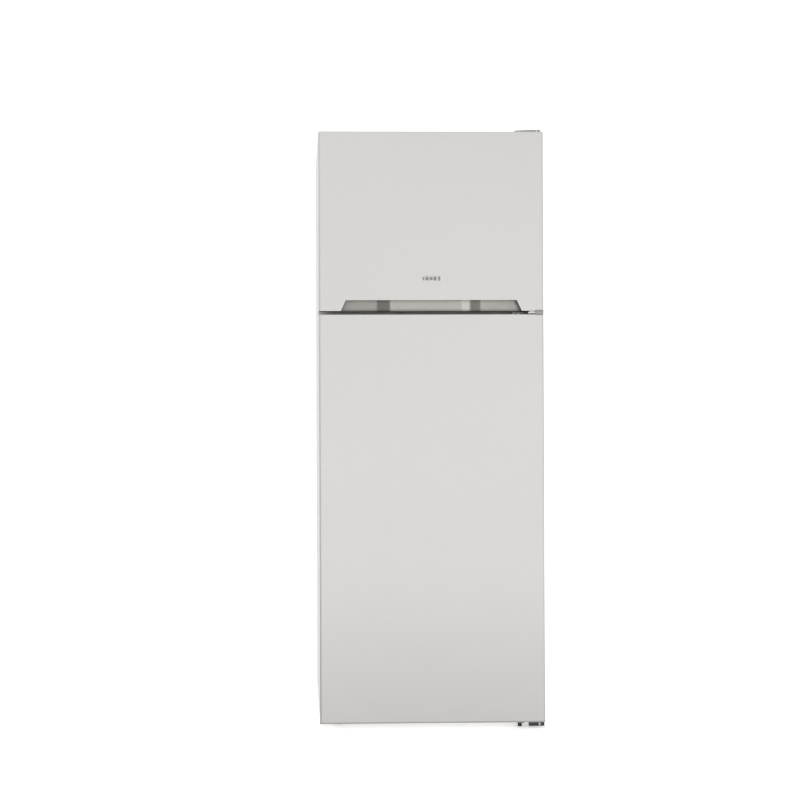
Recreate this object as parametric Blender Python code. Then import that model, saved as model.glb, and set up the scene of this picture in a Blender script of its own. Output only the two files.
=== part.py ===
"""Top freezer refrigerator, 70 x 68 x 186.5 cm, at rest with both doors shut.

Metres, +Z up, front towards -Y, standing on z = 0 and centred on x = y = 0. Both doors hang on
one vertical axis at the right. Each moving piece hangs from an empty on its own axis.
"""

import math

import bmesh
import bpy
import numpy as np

# ---- driving sizes ---------------------------------------------------------------------------
HALF_W = 0.350  # cabinet and doors
DOOR_FRONT = -0.340
DOOR_REAR = -0.280
CAB_FRONT = -0.268
CAB_REAR = 0.322
SPACER_REAR = 0.3414
CAB_BOTTOM = 0.026
CAB_TOP = 1.8575
FRIDGE_DOOR = (0.020, 1.2870)  # bottom and top
FREEZER_DOOR = (1.2985, 1.8560)
COVER_TOP = 1.865
HINGE = (0.327, -0.308)  # x, y of the axis of both doors
GAP = 0.0003  # between pieces that touch
SHEET = 0.001  # steel
LINER = 0.002
INNER_X = 0.300  # half the width inside both compartments
FRIDGE_FLOOR, FRIDGE_CEIL, FRIDGE_BACK = 0.078, 1.260, 0.270
FREEZER_FLOOR, FREEZER_CEIL, FREEZER_BACK = 1.325, 1.7975, 0.262
HUMP_Y, HUMP_Z = 0.085, 0.261  # front and top of the step over the compressor
BAY_Y, BAY_Z = 0.1283, 0.2165  # front and roof of the compressor bay
FLANGE_X = 0.306  # inner edge of the side panels' front flange
DIKE_OUT, DIKE_IN = 0.290, 0.262  # half widths of the ridge round the inside of a door
SHELF_Z = {"shelf_upper": 1.020, "shelf_middle": 0.800, "shelf_lower": 0.575}
SHELF_FRONT, SHELF_REAR, SHELF_X = -0.140, 0.235, 0.2985
CRISPER_COVER_Z = 0.345
CHILLER_Z = (0.4545, 0.5630)
FREEZER_SHELF_Z = 1.560
TRAY_X = (-0.231, -0.113)  # axes of the two ice trays
TRAY_Z = 1.478
FAN = (0.0, 1.690)  # x, z of the fan's axis
FLAP_AXIS = (-0.271, 1.104)  # y, z
KNOB = (0.0, 1.2405)  # x, z
FOOT_LEFT = (-0.290, -0.235)
FOOT_RIGHT = (0.276, -0.300)
ROLLER_X, ROLLER_Y, ROLLER_R = 0.295, 0.275, 0.017
COMPRESSOR = (0.070, 0.226)  # x, y of its centre
RECESS = (0.2815, 0.2662, 1.3320)  # half width below, half width above, height of the top edge
RECESS_BACK = -0.317
ROUND = 24  # sides of a round piece

PALETTE = {
    "white_steel": ((0.84, 0.83, 0.80), 0.0, 0.35),
    "galvanised": ((0.55, 0.57, 0.58), 0.9, 0.45),
    "black_steel": ((0.03, 0.03, 0.035), 0.2, 0.5),
    "foam": ((0.86, 0.78, 0.55), 0.0, 0.9),
    "liner_white": ((0.90, 0.91, 0.91), 0.0, 0.3),
    "cap_plastic": ((0.72, 0.71, 0.69), 0.0, 0.45),
    "hinge_grey": ((0.45, 0.45, 0.44), 0.0, 0.5),
    "hinge_steel": ((0.50, 0.50, 0.49), 0.4, 0.45),
    "silver": ((0.55, 0.54, 0.52), 0.8, 0.3),
    "gasket": ((0.70, 0.70, 0.68), 0.0, 0.7),
    "clear_plastic": ((0.75, 0.85, 0.90), 0.0, 0.1),
    "shelf_glass": ((0.70, 0.85, 0.82), 0.0, 0.05),
    "aluminium": ((0.70, 0.71, 0.72), 0.9, 0.35),
    "rubber": ((0.03, 0.03, 0.03), 0.0, 0.8),
}


# ---- scene and materials ---------------------------------------------------------------------
for old in list(bpy.data.objects):
    bpy.data.objects.remove(old, do_unlink=True)

HOLDERS = {}


def material(name):
    found = bpy.data.materials.get(name)
    if found:
        return found
    colour, metallic, rough = PALETTE[name]
    made = bpy.data.materials.new(name)
    made.use_nodes = True
    shader = made.node_tree.nodes["Principled BSDF"]
    shader.inputs["Base Color"].default_value = (*colour, 1.0)
    shader.inputs["Metallic"].default_value = metallic
    shader.inputs["Roughness"].default_value = rough
    if name in ("clear_plastic", "shelf_glass"):
        shader.inputs["Alpha"].default_value = 0.4
    made.diffuse_color = (*colour, 1.0)
    return made


def finish(name, mat, bm, smooth=False):
    """The bmesh as an object with its faces outwards."""
    bmesh.ops.remove_doubles(bm, verts=bm.verts, dist=1e-7)
    bmesh.ops.recalc_face_normals(bm, faces=bm.faces)
    if bm.calc_volume(signed=True) < 0:
        bmesh.ops.reverse_faces(bm, faces=bm.faces)
    mesh = bpy.data.meshes.new(name)
    bm.to_mesh(mesh)
    bm.free()
    made = bpy.data.objects.new(name, mesh)
    bpy.context.scene.collection.objects.link(made)
    mesh.materials.append(material(mat))
    if smooth:
        mesh.polygons.foreach_set("use_smooth", [True] * len(mesh.polygons))
        mesh.set_sharp_from_angle(angle=math.radians(35))
    return made


# ---- solids ----------------------------------------------------------------------------------
def blocks(name, mat, ops):
    """A right-angled solid. Each (sign, low, high) adds or cuts a box, in order."""
    planes = [sorted({round(p[k], 6) for _, lo, hi in ops for p in (lo, hi)}) for k in range(3)]
    full = np.zeros([len(p) + 1 for p in planes], bool)  # with an empty cell all round
    for sign, lo, hi in ops:
        low = [planes[k].index(round(lo[k], 6)) + 1 for k in range(3)]
        high = [planes[k].index(round(hi[k], 6)) + 1 for k in range(3)]
        full[low[0] : high[0], low[1] : high[1], low[2] : high[2]] = sign > 0
    bm = bmesh.new()
    corners = {}

    def corner(*at):
        if at not in corners:
            corners[at] = bm.verts.new([planes[k][at[k]] for k in range(3)])
        return corners[at]

    for axis in range(3):
        u, v = (axis + 1) % 3, (axis + 2) % 3
        step = np.diff(full.astype(np.int8), axis=axis)
        for cell in np.argwhere(step):
            at = [cell[0], cell[1], cell[2]]
            at[u] -= 1
            at[v] -= 1
            quad = []
            for du, dv in ((0, 0), (1, 0), (1, 1), (0, 1)):
                point = list(at)
                point[u] += du
                point[v] += dv
                quad.append(corner(*point))
            bm.faces.new(quad if step[tuple(cell)] < 0 else quad[::-1])
    return finish(name, mat, bm)


def stack(name, mat, loops, smooth=False, ring=False):
    """A solid skinned through loops of equal length: capped at both ends, or closed into a ring."""
    bm = bmesh.new()
    rows = [[bm.verts.new(p) for p in loop] for loop in loops]
    pairs = list(zip(rows, rows[1:]))
    if ring:
        pairs.append((rows[-1], rows[0]))
    else:
        bm.faces.new(rows[0])
        bm.faces.new(rows[-1])
    for a, b in pairs:
        for i in range(len(a)):
            j = (i + 1) % len(a)
            bm.faces.new((a[i], a[j], b[j], b[i]))
    return finish(name, mat, bm, smooth)


def lay(point, axis, at):
    """A 2-D point placed across the given axis: x takes (y, z), y takes (x, z), z takes (x, y)."""
    placed = list(point)
    placed.insert("xyz".index(axis), at)
    return tuple(placed)


def prism(name, mat, outline, axis, low, high):
    return stack(name, mat, [[lay(p, axis, at) for p in outline] for at in (low, high)])


def circle(centre, radius, sides=ROUND):
    turn = [2 * math.pi * i / sides for i in range(sides)]
    return [(centre[0] + radius * math.cos(t), centre[1] + radius * math.sin(t)) for t in turn]


def oval(centre, rx, ry, sides=ROUND):
    return [
        (centre[0] + rx * x, centre[1] + ry * y) for x, y in circle((0, 0), 1.0, sides)
    ]


def rounded(x0, x1, y0, y1, radius, steps=3):
    """A rectangle with rounded corners, counter-clockwise."""
    out = []
    centres = ((x1, y0, -90), (x1, y1, 0), (x0, y1, 90), (x0, y0, 180))
    for x, y, start in centres:
        cx = x - radius if x == x1 else x + radius
        cy = y - radius if y == y1 else y + radius
        for i in range(steps + 1):
            t = math.radians(start + 90 * i / steps)
            out.append((cx + radius * math.cos(t), cy + radius * math.sin(t)))
    return out


def turned(name, mat, profile, centre, axis="z", sides=ROUND, ring=False):
    """A turned piece from (radius, place along the axis) pairs."""
    loops = [[lay(p, axis, at) for p in circle(centre, r, sides)] for r, at in profile]
    return stack(name, mat, loops, smooth=True, ring=ring)


def tray(name, mat, x, y, z, wall, floor, radius=0.012, draft=0.0):
    """An open-topped box with rounded corners whose sides lean out by the draft."""
    (x0, x1), (y0, y1), (z0, z1) = x, y, z
    d = draft
    flat = [
        (rounded(x0 + d, x1 - d, y0 + d, y1 - d, radius), z0),
        (rounded(x0, x1, y0, y1, radius), z1),
        (rounded(x0 + wall, x1 - wall, y0 + wall, y1 - wall, radius - wall), z1),
        (rounded(x0 + wall + d, x1 - wall - d, y0 + wall + d, y1 - wall - d, radius - wall), z0 + floor),
    ]
    return stack(name, mat, [[(px, py, at) for px, py in loop] for loop, at in flat])


def combine(target, operation, helpers):
    """Unites the helpers with the target or cuts them from it, and drops them."""
    for helper in helpers:
        step = target.modifiers.new("step", "BOOLEAN")
        step.operation = operation
        step.solver = "EXACT"
        step.object = helper
        bpy.context.view_layer.update()
        graph = bpy.context.evaluated_depsgraph_get()
        mesh = bpy.data.meshes.new_from_object(target.evaluated_get(graph))
        target.modifiers.clear()
        spare = target.data
        target.data = mesh
        mesh.name = target.name
        bpy.data.meshes.remove(spare)
        bpy.data.objects.remove(helper, do_unlink=True)
    keep = target.data.materials[0]
    target.data.materials.clear()
    target.data.materials.append(keep)
    target.data.polygons.foreach_set("material_index", [0] * len(target.data.polygons))
    return target


def unite(target, *helpers):
    return combine(target, "UNION", helpers)


def cut(target, *helpers):
    return combine(target, "DIFFERENCE", helpers)


def rod(centre, radius, axis, low, high, sides=ROUND):
    return prism("rod", "galvanised", circle(centre, radius, sides), axis, low, high)


def slab(lo, hi):
    return blocks("slab", "galvanised", [(1, lo, hi)])


def hang(holder, at, *names):
    """Puts the named pieces on an empty that stands on their joint's axis."""
    empty = bpy.data.objects.new(holder, None)
    empty.location = at
    empty.empty_display_size = 0.03
    bpy.context.scene.collection.objects.link(empty)
    bpy.context.view_layer.update()
    for name in names:
        piece = bpy.data.objects[name]
        piece.parent = empty
        piece.matrix_parent_inverse = empty.matrix_world.inverted()
    HOLDERS[holder] = empty
    return empty


def on(parent, child):
    HOLDERS[child].parent = HOLDERS[parent]
    HOLDERS[child].matrix_parent_inverse = HOLDERS[parent].matrix_world.inverted()


# ---- cabinet ---------------------------------------------------------------------------------
def side_panels():
    for name, s in (("side_panel_left", -1), ("side_panel_right", 1)):
        xs = sorted((s * HALF_W, s * (HALF_W - SHEET)))
        fs = sorted((s * HALF_W, s * FLANGE_X))
        blocks(name, "white_steel", [
            (1, (xs[0], CAB_FRONT, CAB_BOTTOM), (xs[1], CAB_REAR, CAB_TOP)),
            (1, (fs[0], CAB_FRONT, CAB_BOTTOM), (fs[1], CAB_FRONT + SHEET, CAB_TOP - SHEET - GAP)),
        ])


def top_panel():
    x = HALF_W - SHEET - GAP
    blocks("top_panel", "white_steel", [
        (1, (-x, CAB_FRONT, CAB_TOP - SHEET), (x, CAB_REAR, CAB_TOP)),
        (1, (-FLANGE_X + GAP, CAB_FRONT, FREEZER_CEIL + 0.0085),
         (FLANGE_X - GAP, CAB_FRONT + SHEET, CAB_TOP)),
    ])


def cabinet_foam():
    x = HALF_W - SHEET - GAP
    lx = INNER_X + LINER + GAP
    skin = LINER + GAP
    front = CAB_FRONT + SHEET + GAP
    blocks("cabinet_foam", "foam", [
        (1, (-x, front, CAB_BOTTOM + SHEET + GAP), (x, CAB_REAR - 0.0013, CAB_TOP - SHEET - GAP)),
        (-1, (-lx, front, FREEZER_FLOOR - skin), (lx, FREEZER_BACK + skin, FREEZER_CEIL + skin)),
        (-1, (-lx, front, FRIDGE_FLOOR - skin), (lx, HUMP_Y + skin, FRIDGE_CEIL + skin)),
        (-1, (-lx, HUMP_Y + skin, HUMP_Z - skin), (lx, FRIDGE_BACK + skin, FRIDGE_CEIL + skin)),
        (-1, (-x, BAY_Y - SHEET - GAP, CAB_BOTTOM), (x, CAB_REAR, BAY_Z + SHEET + GAP)),
        (-1, (FOOT_LEFT[0] - 0.007, FOOT_LEFT[1] - 0.007, CAB_BOTTOM),
         (FOOT_LEFT[0] + 0.007, FOOT_LEFT[1] + 0.007, 0.064)),
    ])


def liners():
    x, o = INNER_X, INNER_X + LINER
    lip = FLANGE_X - 0.0005
    behind = CAB_FRONT + 0.0015
    rear = FREEZER_BACK
    ribs = []
    for s in (-1, 1):
        a, b = sorted((s * 0.288, s * (x + 0.001)))
        z = FREEZER_SHELF_Z - GAP
        ribs.append((1, (a, -0.125, z - 0.010), (b, 0.170, z)))
    blocks("freezer_liner", "liner_white", [
        (1, (-o, behind, FREEZER_FLOOR - LINER), (o, rear + LINER, FREEZER_CEIL + LINER)),
        (1, (-lip, CAB_FRONT, FREEZER_FLOOR - 0.0034), (lip, CAB_FRONT + SHEET, FREEZER_CEIL + 0.008)),
        (1, (-o, CAB_FRONT, FREEZER_FLOOR - LINER), (o, behind, FREEZER_CEIL + LINER)),
        (-1, (-x, CAB_FRONT, FREEZER_FLOOR), (x, rear, FREEZER_CEIL)),
    ] + ribs)
    ribs = []
    for s in (-1, 1):
        a, b = sorted((s * 0.288, s * (x + 0.001)))
        for level in (*SHELF_Z.values(), CRISPER_COVER_Z):
            z = level - GAP
            ribs.append((1, (a, -0.120, z - 0.010), (b, 0.230, z)))
        a, b = sorted((s * 0.270, s * (x + 0.001)))
        ribs.append((1, (a, -0.100, CHILLER_Z[0] - 0.010), (b, 0.220, CHILLER_Z[0] - 0.0005)))
    rear = FRIDGE_BACK
    blocks("fridge_liner", "liner_white", [
        (1, (-o, behind, FRIDGE_FLOOR - LINER), (o, rear + LINER, FRIDGE_CEIL + LINER)),
        (1, (-lip, CAB_FRONT, FRIDGE_FLOOR - 0.0034), (lip, CAB_FRONT + SHEET, FRIDGE_CEIL + 0.0034)),
        (1, (-o, CAB_FRONT, FRIDGE_FLOOR - LINER), (o, behind, FRIDGE_CEIL + LINER)),
        (-1, (-o, HUMP_Y + LINER, FRIDGE_FLOOR - LINER), (o, rear + LINER, HUMP_Z - LINER)),
        (-1, (-x, CAB_FRONT, HUMP_Z), (x, rear, FRIDGE_CEIL)),
        (-1, (-x, CAB_FRONT, FRIDGE_FLOOR), (x, HUMP_Y, HUMP_Z)),
    ] + ribs)


def rails_and_base():
    x = FLANGE_X - GAP
    blocks("divider_rail", "white_steel", [
        (1, (-x, CAB_FRONT, FRIDGE_CEIL + 0.0037), (x, CAB_FRONT + SHEET, FREEZER_FLOOR - 0.0037)),
    ])
    full = HALF_W - SHEET - GAP
    fx, fy = FOOT_LEFT
    blocks("base_panel", "galvanised", [
        (1, (-full, CAB_FRONT + 0.0015, CAB_BOTTOM), (full, BAY_Y, CAB_BOTTOM + SHEET)),
        (1, (-x, CAB_FRONT, CAB_BOTTOM), (x, CAB_FRONT + SHEET, FRIDGE_FLOOR - 0.0037)),
        (1, (-x, CAB_FRONT, CAB_BOTTOM), (x, CAB_FRONT + 0.002, CAB_BOTTOM + SHEET)),
        (1, (-full, BAY_Y - SHEET, CAB_BOTTOM), (full, BAY_Y, BAY_Z + SHEET)),
        (1, (-full, BAY_Y - SHEET, BAY_Z), (full, CAB_REAR - 0.0013, BAY_Z + SHEET)),
        (-1, (fx - 0.007, fy - 0.007, CAB_BOTTOM), (fx + 0.007, fy + 0.007, CAB_BOTTOM + SHEET)),
    ])
    ops = [(1, (-full, CAB_REAR - SHEET, BAY_Z + 0.0025), (full, CAB_REAR + 0.0005, CAB_TOP - SHEET - GAP))]
    for s in (-1, 1):
        a, b = sorted((s * 0.235, s * 0.265))
        ops.append((1, (a, CAB_REAR, 1.715), (b, SPACER_REAR, 1.745)))
    blocks("back_panel", "galvanised", ops)


def hinges():
    x, y = HINGE
    top = slab((0.277, -0.322, CAB_TOP + 0.0007), (0.341, -0.190, CAB_TOP + 0.0037))
    top.name = "top_hinge_bracket"
    unite(top, rod(HINGE, 0.004, "z", FREEZER_DOOR[1] - 0.014, CAB_TOP + 0.0027))
    outline = [(0.259, 1.8565), (0.3445, 1.8565), (0.3445, COVER_TOP), (0.284, COVER_TOP), (0.259, 1.8595)]
    hollow = [(0.2605, 1.850), (0.343, 1.850), (0.343, COVER_TOP - 0.0015), (0.2845, COVER_TOP - 0.0015),
              (0.2605, 1.8585)]
    cover = prism("top_hinge_cover", "hinge_grey", outline, "y", -0.332, -0.182)
    cut(cover, prism("hollow", "foam", hollow, "y", -0.3305, -0.1835),
        slab((0.20, CAB_FRONT - 0.003, 1.850), (0.40, 0.0, CAB_TOP + 0.0004)))
    zc = (FRIDGE_DOOR[1] + FREEZER_DOOR[0]) / 2
    flange = CAB_FRONT - GAP - 0.0015
    middle = blocks("middle_hinge", "hinge_steel", [
        (1, (0.302, -0.337, zc - 0.0025), (0.349, flange, zc + 0.0025)),
        (1, (0.262, flange, zc - 0.0063), (0.345, CAB_FRONT - GAP, zc + 0.0063)),
    ])
    unite(middle, rod(HINGE, 0.004, "z", zc - 0.018, zc + 0.018))
    bottom = blocks("bottom_hinge", "black_steel", [
        (1, (0.265, -0.322, 0.014), (0.349, flange, 0.0175)),
        (-1, (0.287, -0.322, 0.014), (0.300, -0.286, 0.0175)),
        (1, (0.300, -0.3255, 0.0055), (0.349, -0.322, 0.0175)),
        (1, (0.265, flange, 0.014), (0.345, CAB_FRONT - GAP, 0.0485)),
    ])
    unite(bottom, rod(HINGE, 0.004, "z", 0.015, FRIDGE_DOOR[0] + 0.014))
    cut(bottom, rod(FOOT_RIGHT, 0.0045, "z", 0.0, 0.03, 16))


def feet():
    turned("front_foot_left", "rubber",
           [(0.016, 0.0), (0.018, 0.002), (0.018, 0.008), (0.012, 0.011), (0.005, 0.013), (0.005, 0.060)],
           FOOT_LEFT)
    turned("front_foot_right", "rubber",
           [(0.0060, 0.0), (0.0065, 0.0008), (0.0065, 0.0128), (0.004, 0.0136), (0.004, 0.0190)], FOOT_RIGHT, sides=16)
    for name, s in (("roller_left", -1), ("roller_right", 1)):
        x0, x1 = s * ROLLER_X - 0.010, s * ROLLER_X + 0.010
        turned(name, "cap_plastic",
               [(0.0034, x0), (ROLLER_R - 0.001, x0), (ROLLER_R, x0 + 0.002), (ROLLER_R, x1 - 0.002),
                (ROLLER_R - 0.001, x1), (0.0034, x1)], (ROLLER_Y, ROLLER_R), "x", ring=True)
    low, high = 0.038, 0.040
    x = HALF_W - 0.005
    ops = [
        (1, (-x, 0.132, low), (x, 0.318, high)),
        (1, (-x, 0.132, low), (x, 0.134, 0.056)),
        (1, (-x, 0.316, low), (x, 0.318, 0.056)),
    ]
    axles = []
    for s in (-1, 1):
        for edge in (ROLLER_X - 0.0125, ROLLER_X + 0.0105):
            a, b = sorted((s * edge, s * (edge + 0.002)))
            ops.append((1, (a, ROLLER_Y - 0.012, 0.009), (b, ROLLER_Y + 0.012, high)))
        a, b = sorted((s * (ROLLER_X - 0.0135), s * (ROLLER_X + 0.0135)))
        axles.append(rod((ROLLER_Y, ROLLER_R), 0.003, "x", a, b, 12))
    unite(blocks("compressor_plate", "galvanised", ops), *axles)


def cooling_circuit():
    cx, cy = COMPRESSOR
    turn = [2 * math.pi * i / 28 for i in range(28)]

    def square_round(rx, ry):
        """An oval pulled out towards its bounding rectangle."""
        return [(cx + rx * math.copysign(abs(math.cos(t)) ** 0.45, math.cos(t)),
                 cy + ry * math.copysign(abs(math.sin(t)) ** 0.45, math.sin(t))) for t in turn]

    loops = [(square_round(0.105, 0.075), 0.0405), (square_round(0.105, 0.075), 0.0435)]
    for rx, ry, z in ((0.070, 0.052, 0.0435), (0.080, 0.064, 0.056), (0.086, 0.070, 0.075), (0.086, 0.070, 0.110),
                      (0.088, 0.072, 0.112), (0.088, 0.072, 0.116), (0.086, 0.070, 0.118), (0.086, 0.070, 0.150),
                      (0.076, 0.060, 0.176), (0.050, 0.038, 0.190), (0.022, 0.016, 0.195)):
        loops.append((oval((cx, cy), rx, ry, 28), z))
    stack("compressor", "black_steel", [[(x, y, z) for x, y in loop] for loop, z in loops], smooth=True)
    coil("condenser_coil", 0.3315, 0.0024, 0.270, 0.330, 0.105, 13)
    ops = [(1, (-0.240, 0.210, 1.365), (0.240, 0.256, 1.565))]
    for i in range(12):
        x = -0.222 + i * 0.039
        ops.append((-1, (x, 0.210, 1.380), (x + 0.016, 0.246, 1.550)))
    blocks("evaporator", "aluminium", ops)


def coil(name, y, radius, half, low, pitch, runs, sides=6, bend=4):
    """A flat serpentine tube: level runs joined by half turns."""
    path = []
    r = pitch / 2
    for k in range(runs):
        z = low + k * pitch
        way = 1 if k % 2 == 0 else -1
        path += [(-way * half, z), (way * half, z)]
        if k < runs - 1:
            for i in range(1, bend):
                t = math.pi * i / bend
                path.append((way * (half + 0.6 * r * math.sin(t)), z + r - r * math.cos(t)))
    loops = []
    for i, (x, z) in enumerate(path):
        before = path[max(i - 1, 0)]
        after = path[min(i + 1, len(path) - 1)]
        along = np.array([after[0] - before[0], after[1] - before[1]])
        along = along / np.linalg.norm(along)
        side = (-along[1], along[0])
        loops.append([(x + radius * math.cos(t) * side[0], y + radius * math.sin(t), z + radius * math.cos(t) * side[1])
                      for t in [2 * math.pi * k / sides for k in range(sides)]])
    stack(name, "black_steel", loops, smooth=True)


# ---- freezer compartment ---------------------------------------------------------------------
def freezer_interior():
    x, z = FAN
    ops = [(1, (-INNER_X + 0.0007, 0.196, FREEZER_FLOOR + 0.0006), (INNER_X - 0.0007, 0.199, FREEZER_CEIL - 0.0005))]
    for i in range(5):  # outlet in front of the fan
        zi = z - 0.042 + i * 0.019
        ops.append((-1, (-0.050, 0.196, zi), (-0.011, 0.199, zi + 0.008)))
        ops.append((-1, (0.011, 0.196, zi), (0.050, 0.199, zi + 0.008)))
    for i in range(8):  # return slots at the foot
        xi = -0.2 + i * 0.052
        ops.append((-1, (xi, 0.196, 1.338), (xi + 0.036, 0.199, 1.350)))
    for s in (-1, 1):
        for k in range(2):
            a, b = sorted((s * (0.135 + k * 0.07), s * (0.185 + k * 0.07)))
            ops.append((-1, (a, 0.196, 1.730), (b, 0.199, 1.742)))
    cover = blocks("evaporator_cover", "liner_white", ops)
    unite(cover, rod(FAN, 0.009, "y", 0.198, 0.2035), rod(FAN, 0.003, "y", 0.202, 0.236, 12))
    fan_blade()
    front = -0.150
    blocks("freezer_shelf", "shelf_glass", [
        (1, (-SHELF_X, front, FREEZER_SHELF_Z), (SHELF_X, 0.188, FREEZER_SHELF_Z + 0.0045)),
        (1, (-SHELF_X, front - 0.006, FREEZER_SHELF_Z - 0.004), (SHELF_X, front, FREEZER_SHELF_Z + 0.009)),
    ])
    ice_maker()


def fan_blade():
    x, z = FAN
    fan = turned("fan_blade", "cap_plastic",
                 [(0.0034, 0.2065), (0.012, 0.2065), (0.014, 0.2085), (0.014, 0.228), (0.0034, 0.228)],
                 FAN, "y", 20, ring=True)
    for i in range(5):
        turn = 2 * math.pi * i / 5
        out = np.array((math.cos(turn), 0.0, math.sin(turn)))
        across = np.array((-math.sin(turn), 0.0, math.cos(turn)))
        pitch = math.radians(32)
        chord = across * math.cos(pitch) + np.array((0, 1, 0)) * math.sin(pitch)
        normal = np.cross(out, chord)
        middle = np.array((x, 0.2175, z))
        loops = []
        for r, half in ((0.011, 0.010), (0.030, 0.016), (0.047, 0.014)):
            c = middle + out * r
            loops.append([tuple(c + chord * half * a + normal * 0.0009 * b)
                          for a, b in ((-1, -1), (1, -1), (1, 1), (-1, 1))])
        unite(fan, stack("blade", "cap_plastic", loops))


def ice_maker():
    x0, x1, y0, y1 = -0.292, -0.052, -0.120, 0.120
    z0, z1 = FREEZER_FLOOR + 0.0006, 1.512
    ops = [
        (1, (x0, y0, z0), (x0 + 0.003, y1, z1)),
        (1, (x1 - 0.003, y0, z0), (x1, y1, z1)),
        (1, (x0, y1 - 0.003, z0), (x1, y1, z1)),
        (1, (x0, y0, 1.428), (x1, y0 + 0.003, z1)),
    ]
    frame = blocks("ice_maker_frame", "liner_white", ops)
    for x in TRAY_X:
        cut(frame, rod((x, TRAY_Z), 0.0054, "y", -0.2, 0.2, 16))
    for name, x in zip(("ice_tray_left", "ice_tray_right"), TRAY_X):
        half, deep = 0.050, 0.016
        ops = [(1, (x - half, -0.112, TRAY_Z - deep), (x + half, 0.112, TRAY_Z + deep))]
        for i in range(5):
            for side in (-1, 1):
                a, b = sorted((x + side * 0.003, x + side * (half - 0.003)))
                y = -0.108 + i * 0.0436
                ops.append((-1, (a, y, TRAY_Z - deep + 0.003), (b, y + 0.0416, TRAY_Z + deep)))
        made = blocks(name, "clear_plastic", ops)
        unite(made, rod((x, TRAY_Z), 0.005, "y", -0.126, -0.1115, 16), rod((x, TRAY_Z), 0.005, "y", 0.1115, 0.119, 16),
              rod((x, TRAY_Z), 0.016, "y", -0.134, -0.1235, 20),
              slab((x - 0.019, -0.142, TRAY_Z - 0.003), (x + 0.019, -0.133, TRAY_Z + 0.003)))
    tray("ice_box", "clear_plastic", (x0 + 0.006, x1 - 0.006), (-0.118, 0.112), (z0 + 0.0015, 1.4235), 0.002, 0.002, 0.010)


# ---- fridge compartment ----------------------------------------------------------------------
def fridge_interior():
    for name, z in SHELF_Z.items():
        blocks(name, "shelf_glass", [
            (1, (-SHELF_X, SHELF_FRONT, z), (SHELF_X, SHELF_REAR, z + 0.0045)),
            (1, (-SHELF_X, SHELF_FRONT - 0.006, z - 0.006), (SHELF_X, SHELF_FRONT + 0.008, z + 0.008)),
        ])
    z = CRISPER_COVER_Z
    blocks("crisper_cover", "shelf_glass", [
        (1, (-SHELF_X, -0.125, z), (SHELF_X, 0.240, z + 0.005)),
        (1, (-SHELF_X, -0.137, z - 0.012), (SHELF_X, -0.123, z + 0.008)),
        (-1, (-0.045, -0.137, z - 0.007), (0.045, -0.129, z + 0.003)),
    ])
    blocks("humidity_slider", "cap_plastic", [
        (1, (-0.044, -0.1365, z - 0.0065), (-0.010, -0.1295, z + 0.0025)),
        (1, (-0.030, -0.1410, z - 0.0065), (-0.024, -0.1365, z + 0.0025)),
    ])
    w = 0.0025
    x = 0.290
    blocks("crisper_drawer", "clear_plastic", [
        (1, (-x, -0.105, 0.0795), (x, 0.080, 0.327)),
        (1, (-x, 0.080, HUMP_Z + 0.0035), (x, 0.205, 0.327)),
        (-1, (-x + w, -0.105 + 0.003, 0.0795 + w), (x - w, 0.080 - w, 0.327)),
        (-1, (-x + w, 0.080 - w, HUMP_Z + 0.0035 + w), (x - w, 0.205 - w, 0.327)),
        (1, (-0.200, -0.112, 0.309), (0.200, -0.105, 0.327)),
        (1, (-0.200, -0.112, 0.300), (0.200, -0.109, 0.310)),
    ])
    chiller = tray("chiller_drawer", "clear_plastic", (-0.283, 0.283), (-0.105, 0.200), CHILLER_Z, w, w, 0.012)
    unite(chiller, slab((-0.150, -0.112, CHILLER_Z[1] - 0.014), (0.150, -0.104, CHILLER_Z[1] - 0.002)))
    housing = blocks("lamp_housing", "liner_white", [
        (1, (-0.105, -0.100, 1.2220), (0.105, 0.080, FRIDGE_CEIL - 0.0005)),
        (-1, (-0.105, -0.100, 1.2220), (0.105, -0.094, 1.2260)),
    ])
    cut(housing, rod(KNOB, 0.0045, "y", -0.11, -0.086, 16))
    turned("thermostat_knob", "cap_plastic",
           [(0.013, -0.1175), (0.0155, -0.1150), (0.016, -0.1005), (0.0038, -0.1003), (0.0038, -0.0875)], KNOB, "y")
    lens = [[(px, py, z) for px, py in rounded(-0.075 + d, 0.075 - d, -0.060 + d, 0.060 - d, 0.015, 3)]
            for d, z in ((0.006, 1.208), (0.001, 1.212), (0.0, 1.2215))]
    stack("lamp_lens", "clear_plastic", lens)
    ops = [(1, (-0.085, 0.2505, 0.400), (0.085, FRIDGE_BACK - 0.0005, 1.200)),
           (1, (-0.065, 0.2445, 0.410), (0.065, 0.2505, 1.190))]
    for level in (0.49, 0.70, 0.91, 1.12):
        for i in range(3):
            z = level + 0.012 * i
            for s in (-1, 1):
                a, b = sorted((s * 0.012, s * 0.055))
                ops.append((-1, (a, 0.2445, z), (b, 0.2545, z + 0.006)))
    blocks("air_duct_cover", "liner_white", ops)


# ---- doors -----------------------------------------------------------------------------------
def door_outline(inset, radius):
    """Door section seen from above, with its two front corners rounded."""
    x, front, rear = HALF_W - inset, DOOR_FRONT + inset, DOOR_REAR
    out = [(x, rear)]
    for start, sx in ((0, 1), (-90, -1)):
        for i in range(5):
            t = math.radians(start - 90 * i / 4)
            out.append((sx * (x - radius) + radius * math.cos(t), front + radius + radius * math.sin(t)))
    out.append((-x, rear))
    return out


def door_skin(name, low, high):
    outer = door_outline(0.0, 0.005)
    inner = door_outline(SHEET, 0.004)
    return prism(name, "white_steel", outer + inner[::-1], "z", low, high)


def end_cap(name, mat, low, high):
    edge = door_outline(SHEET + GAP, 0.0037)
    rear = DOOR_REAR - 0.0018
    edge = [(x, min(y, rear)) for x, y in edge]
    return prism(name, mat, edge, "z", low, high)


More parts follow.
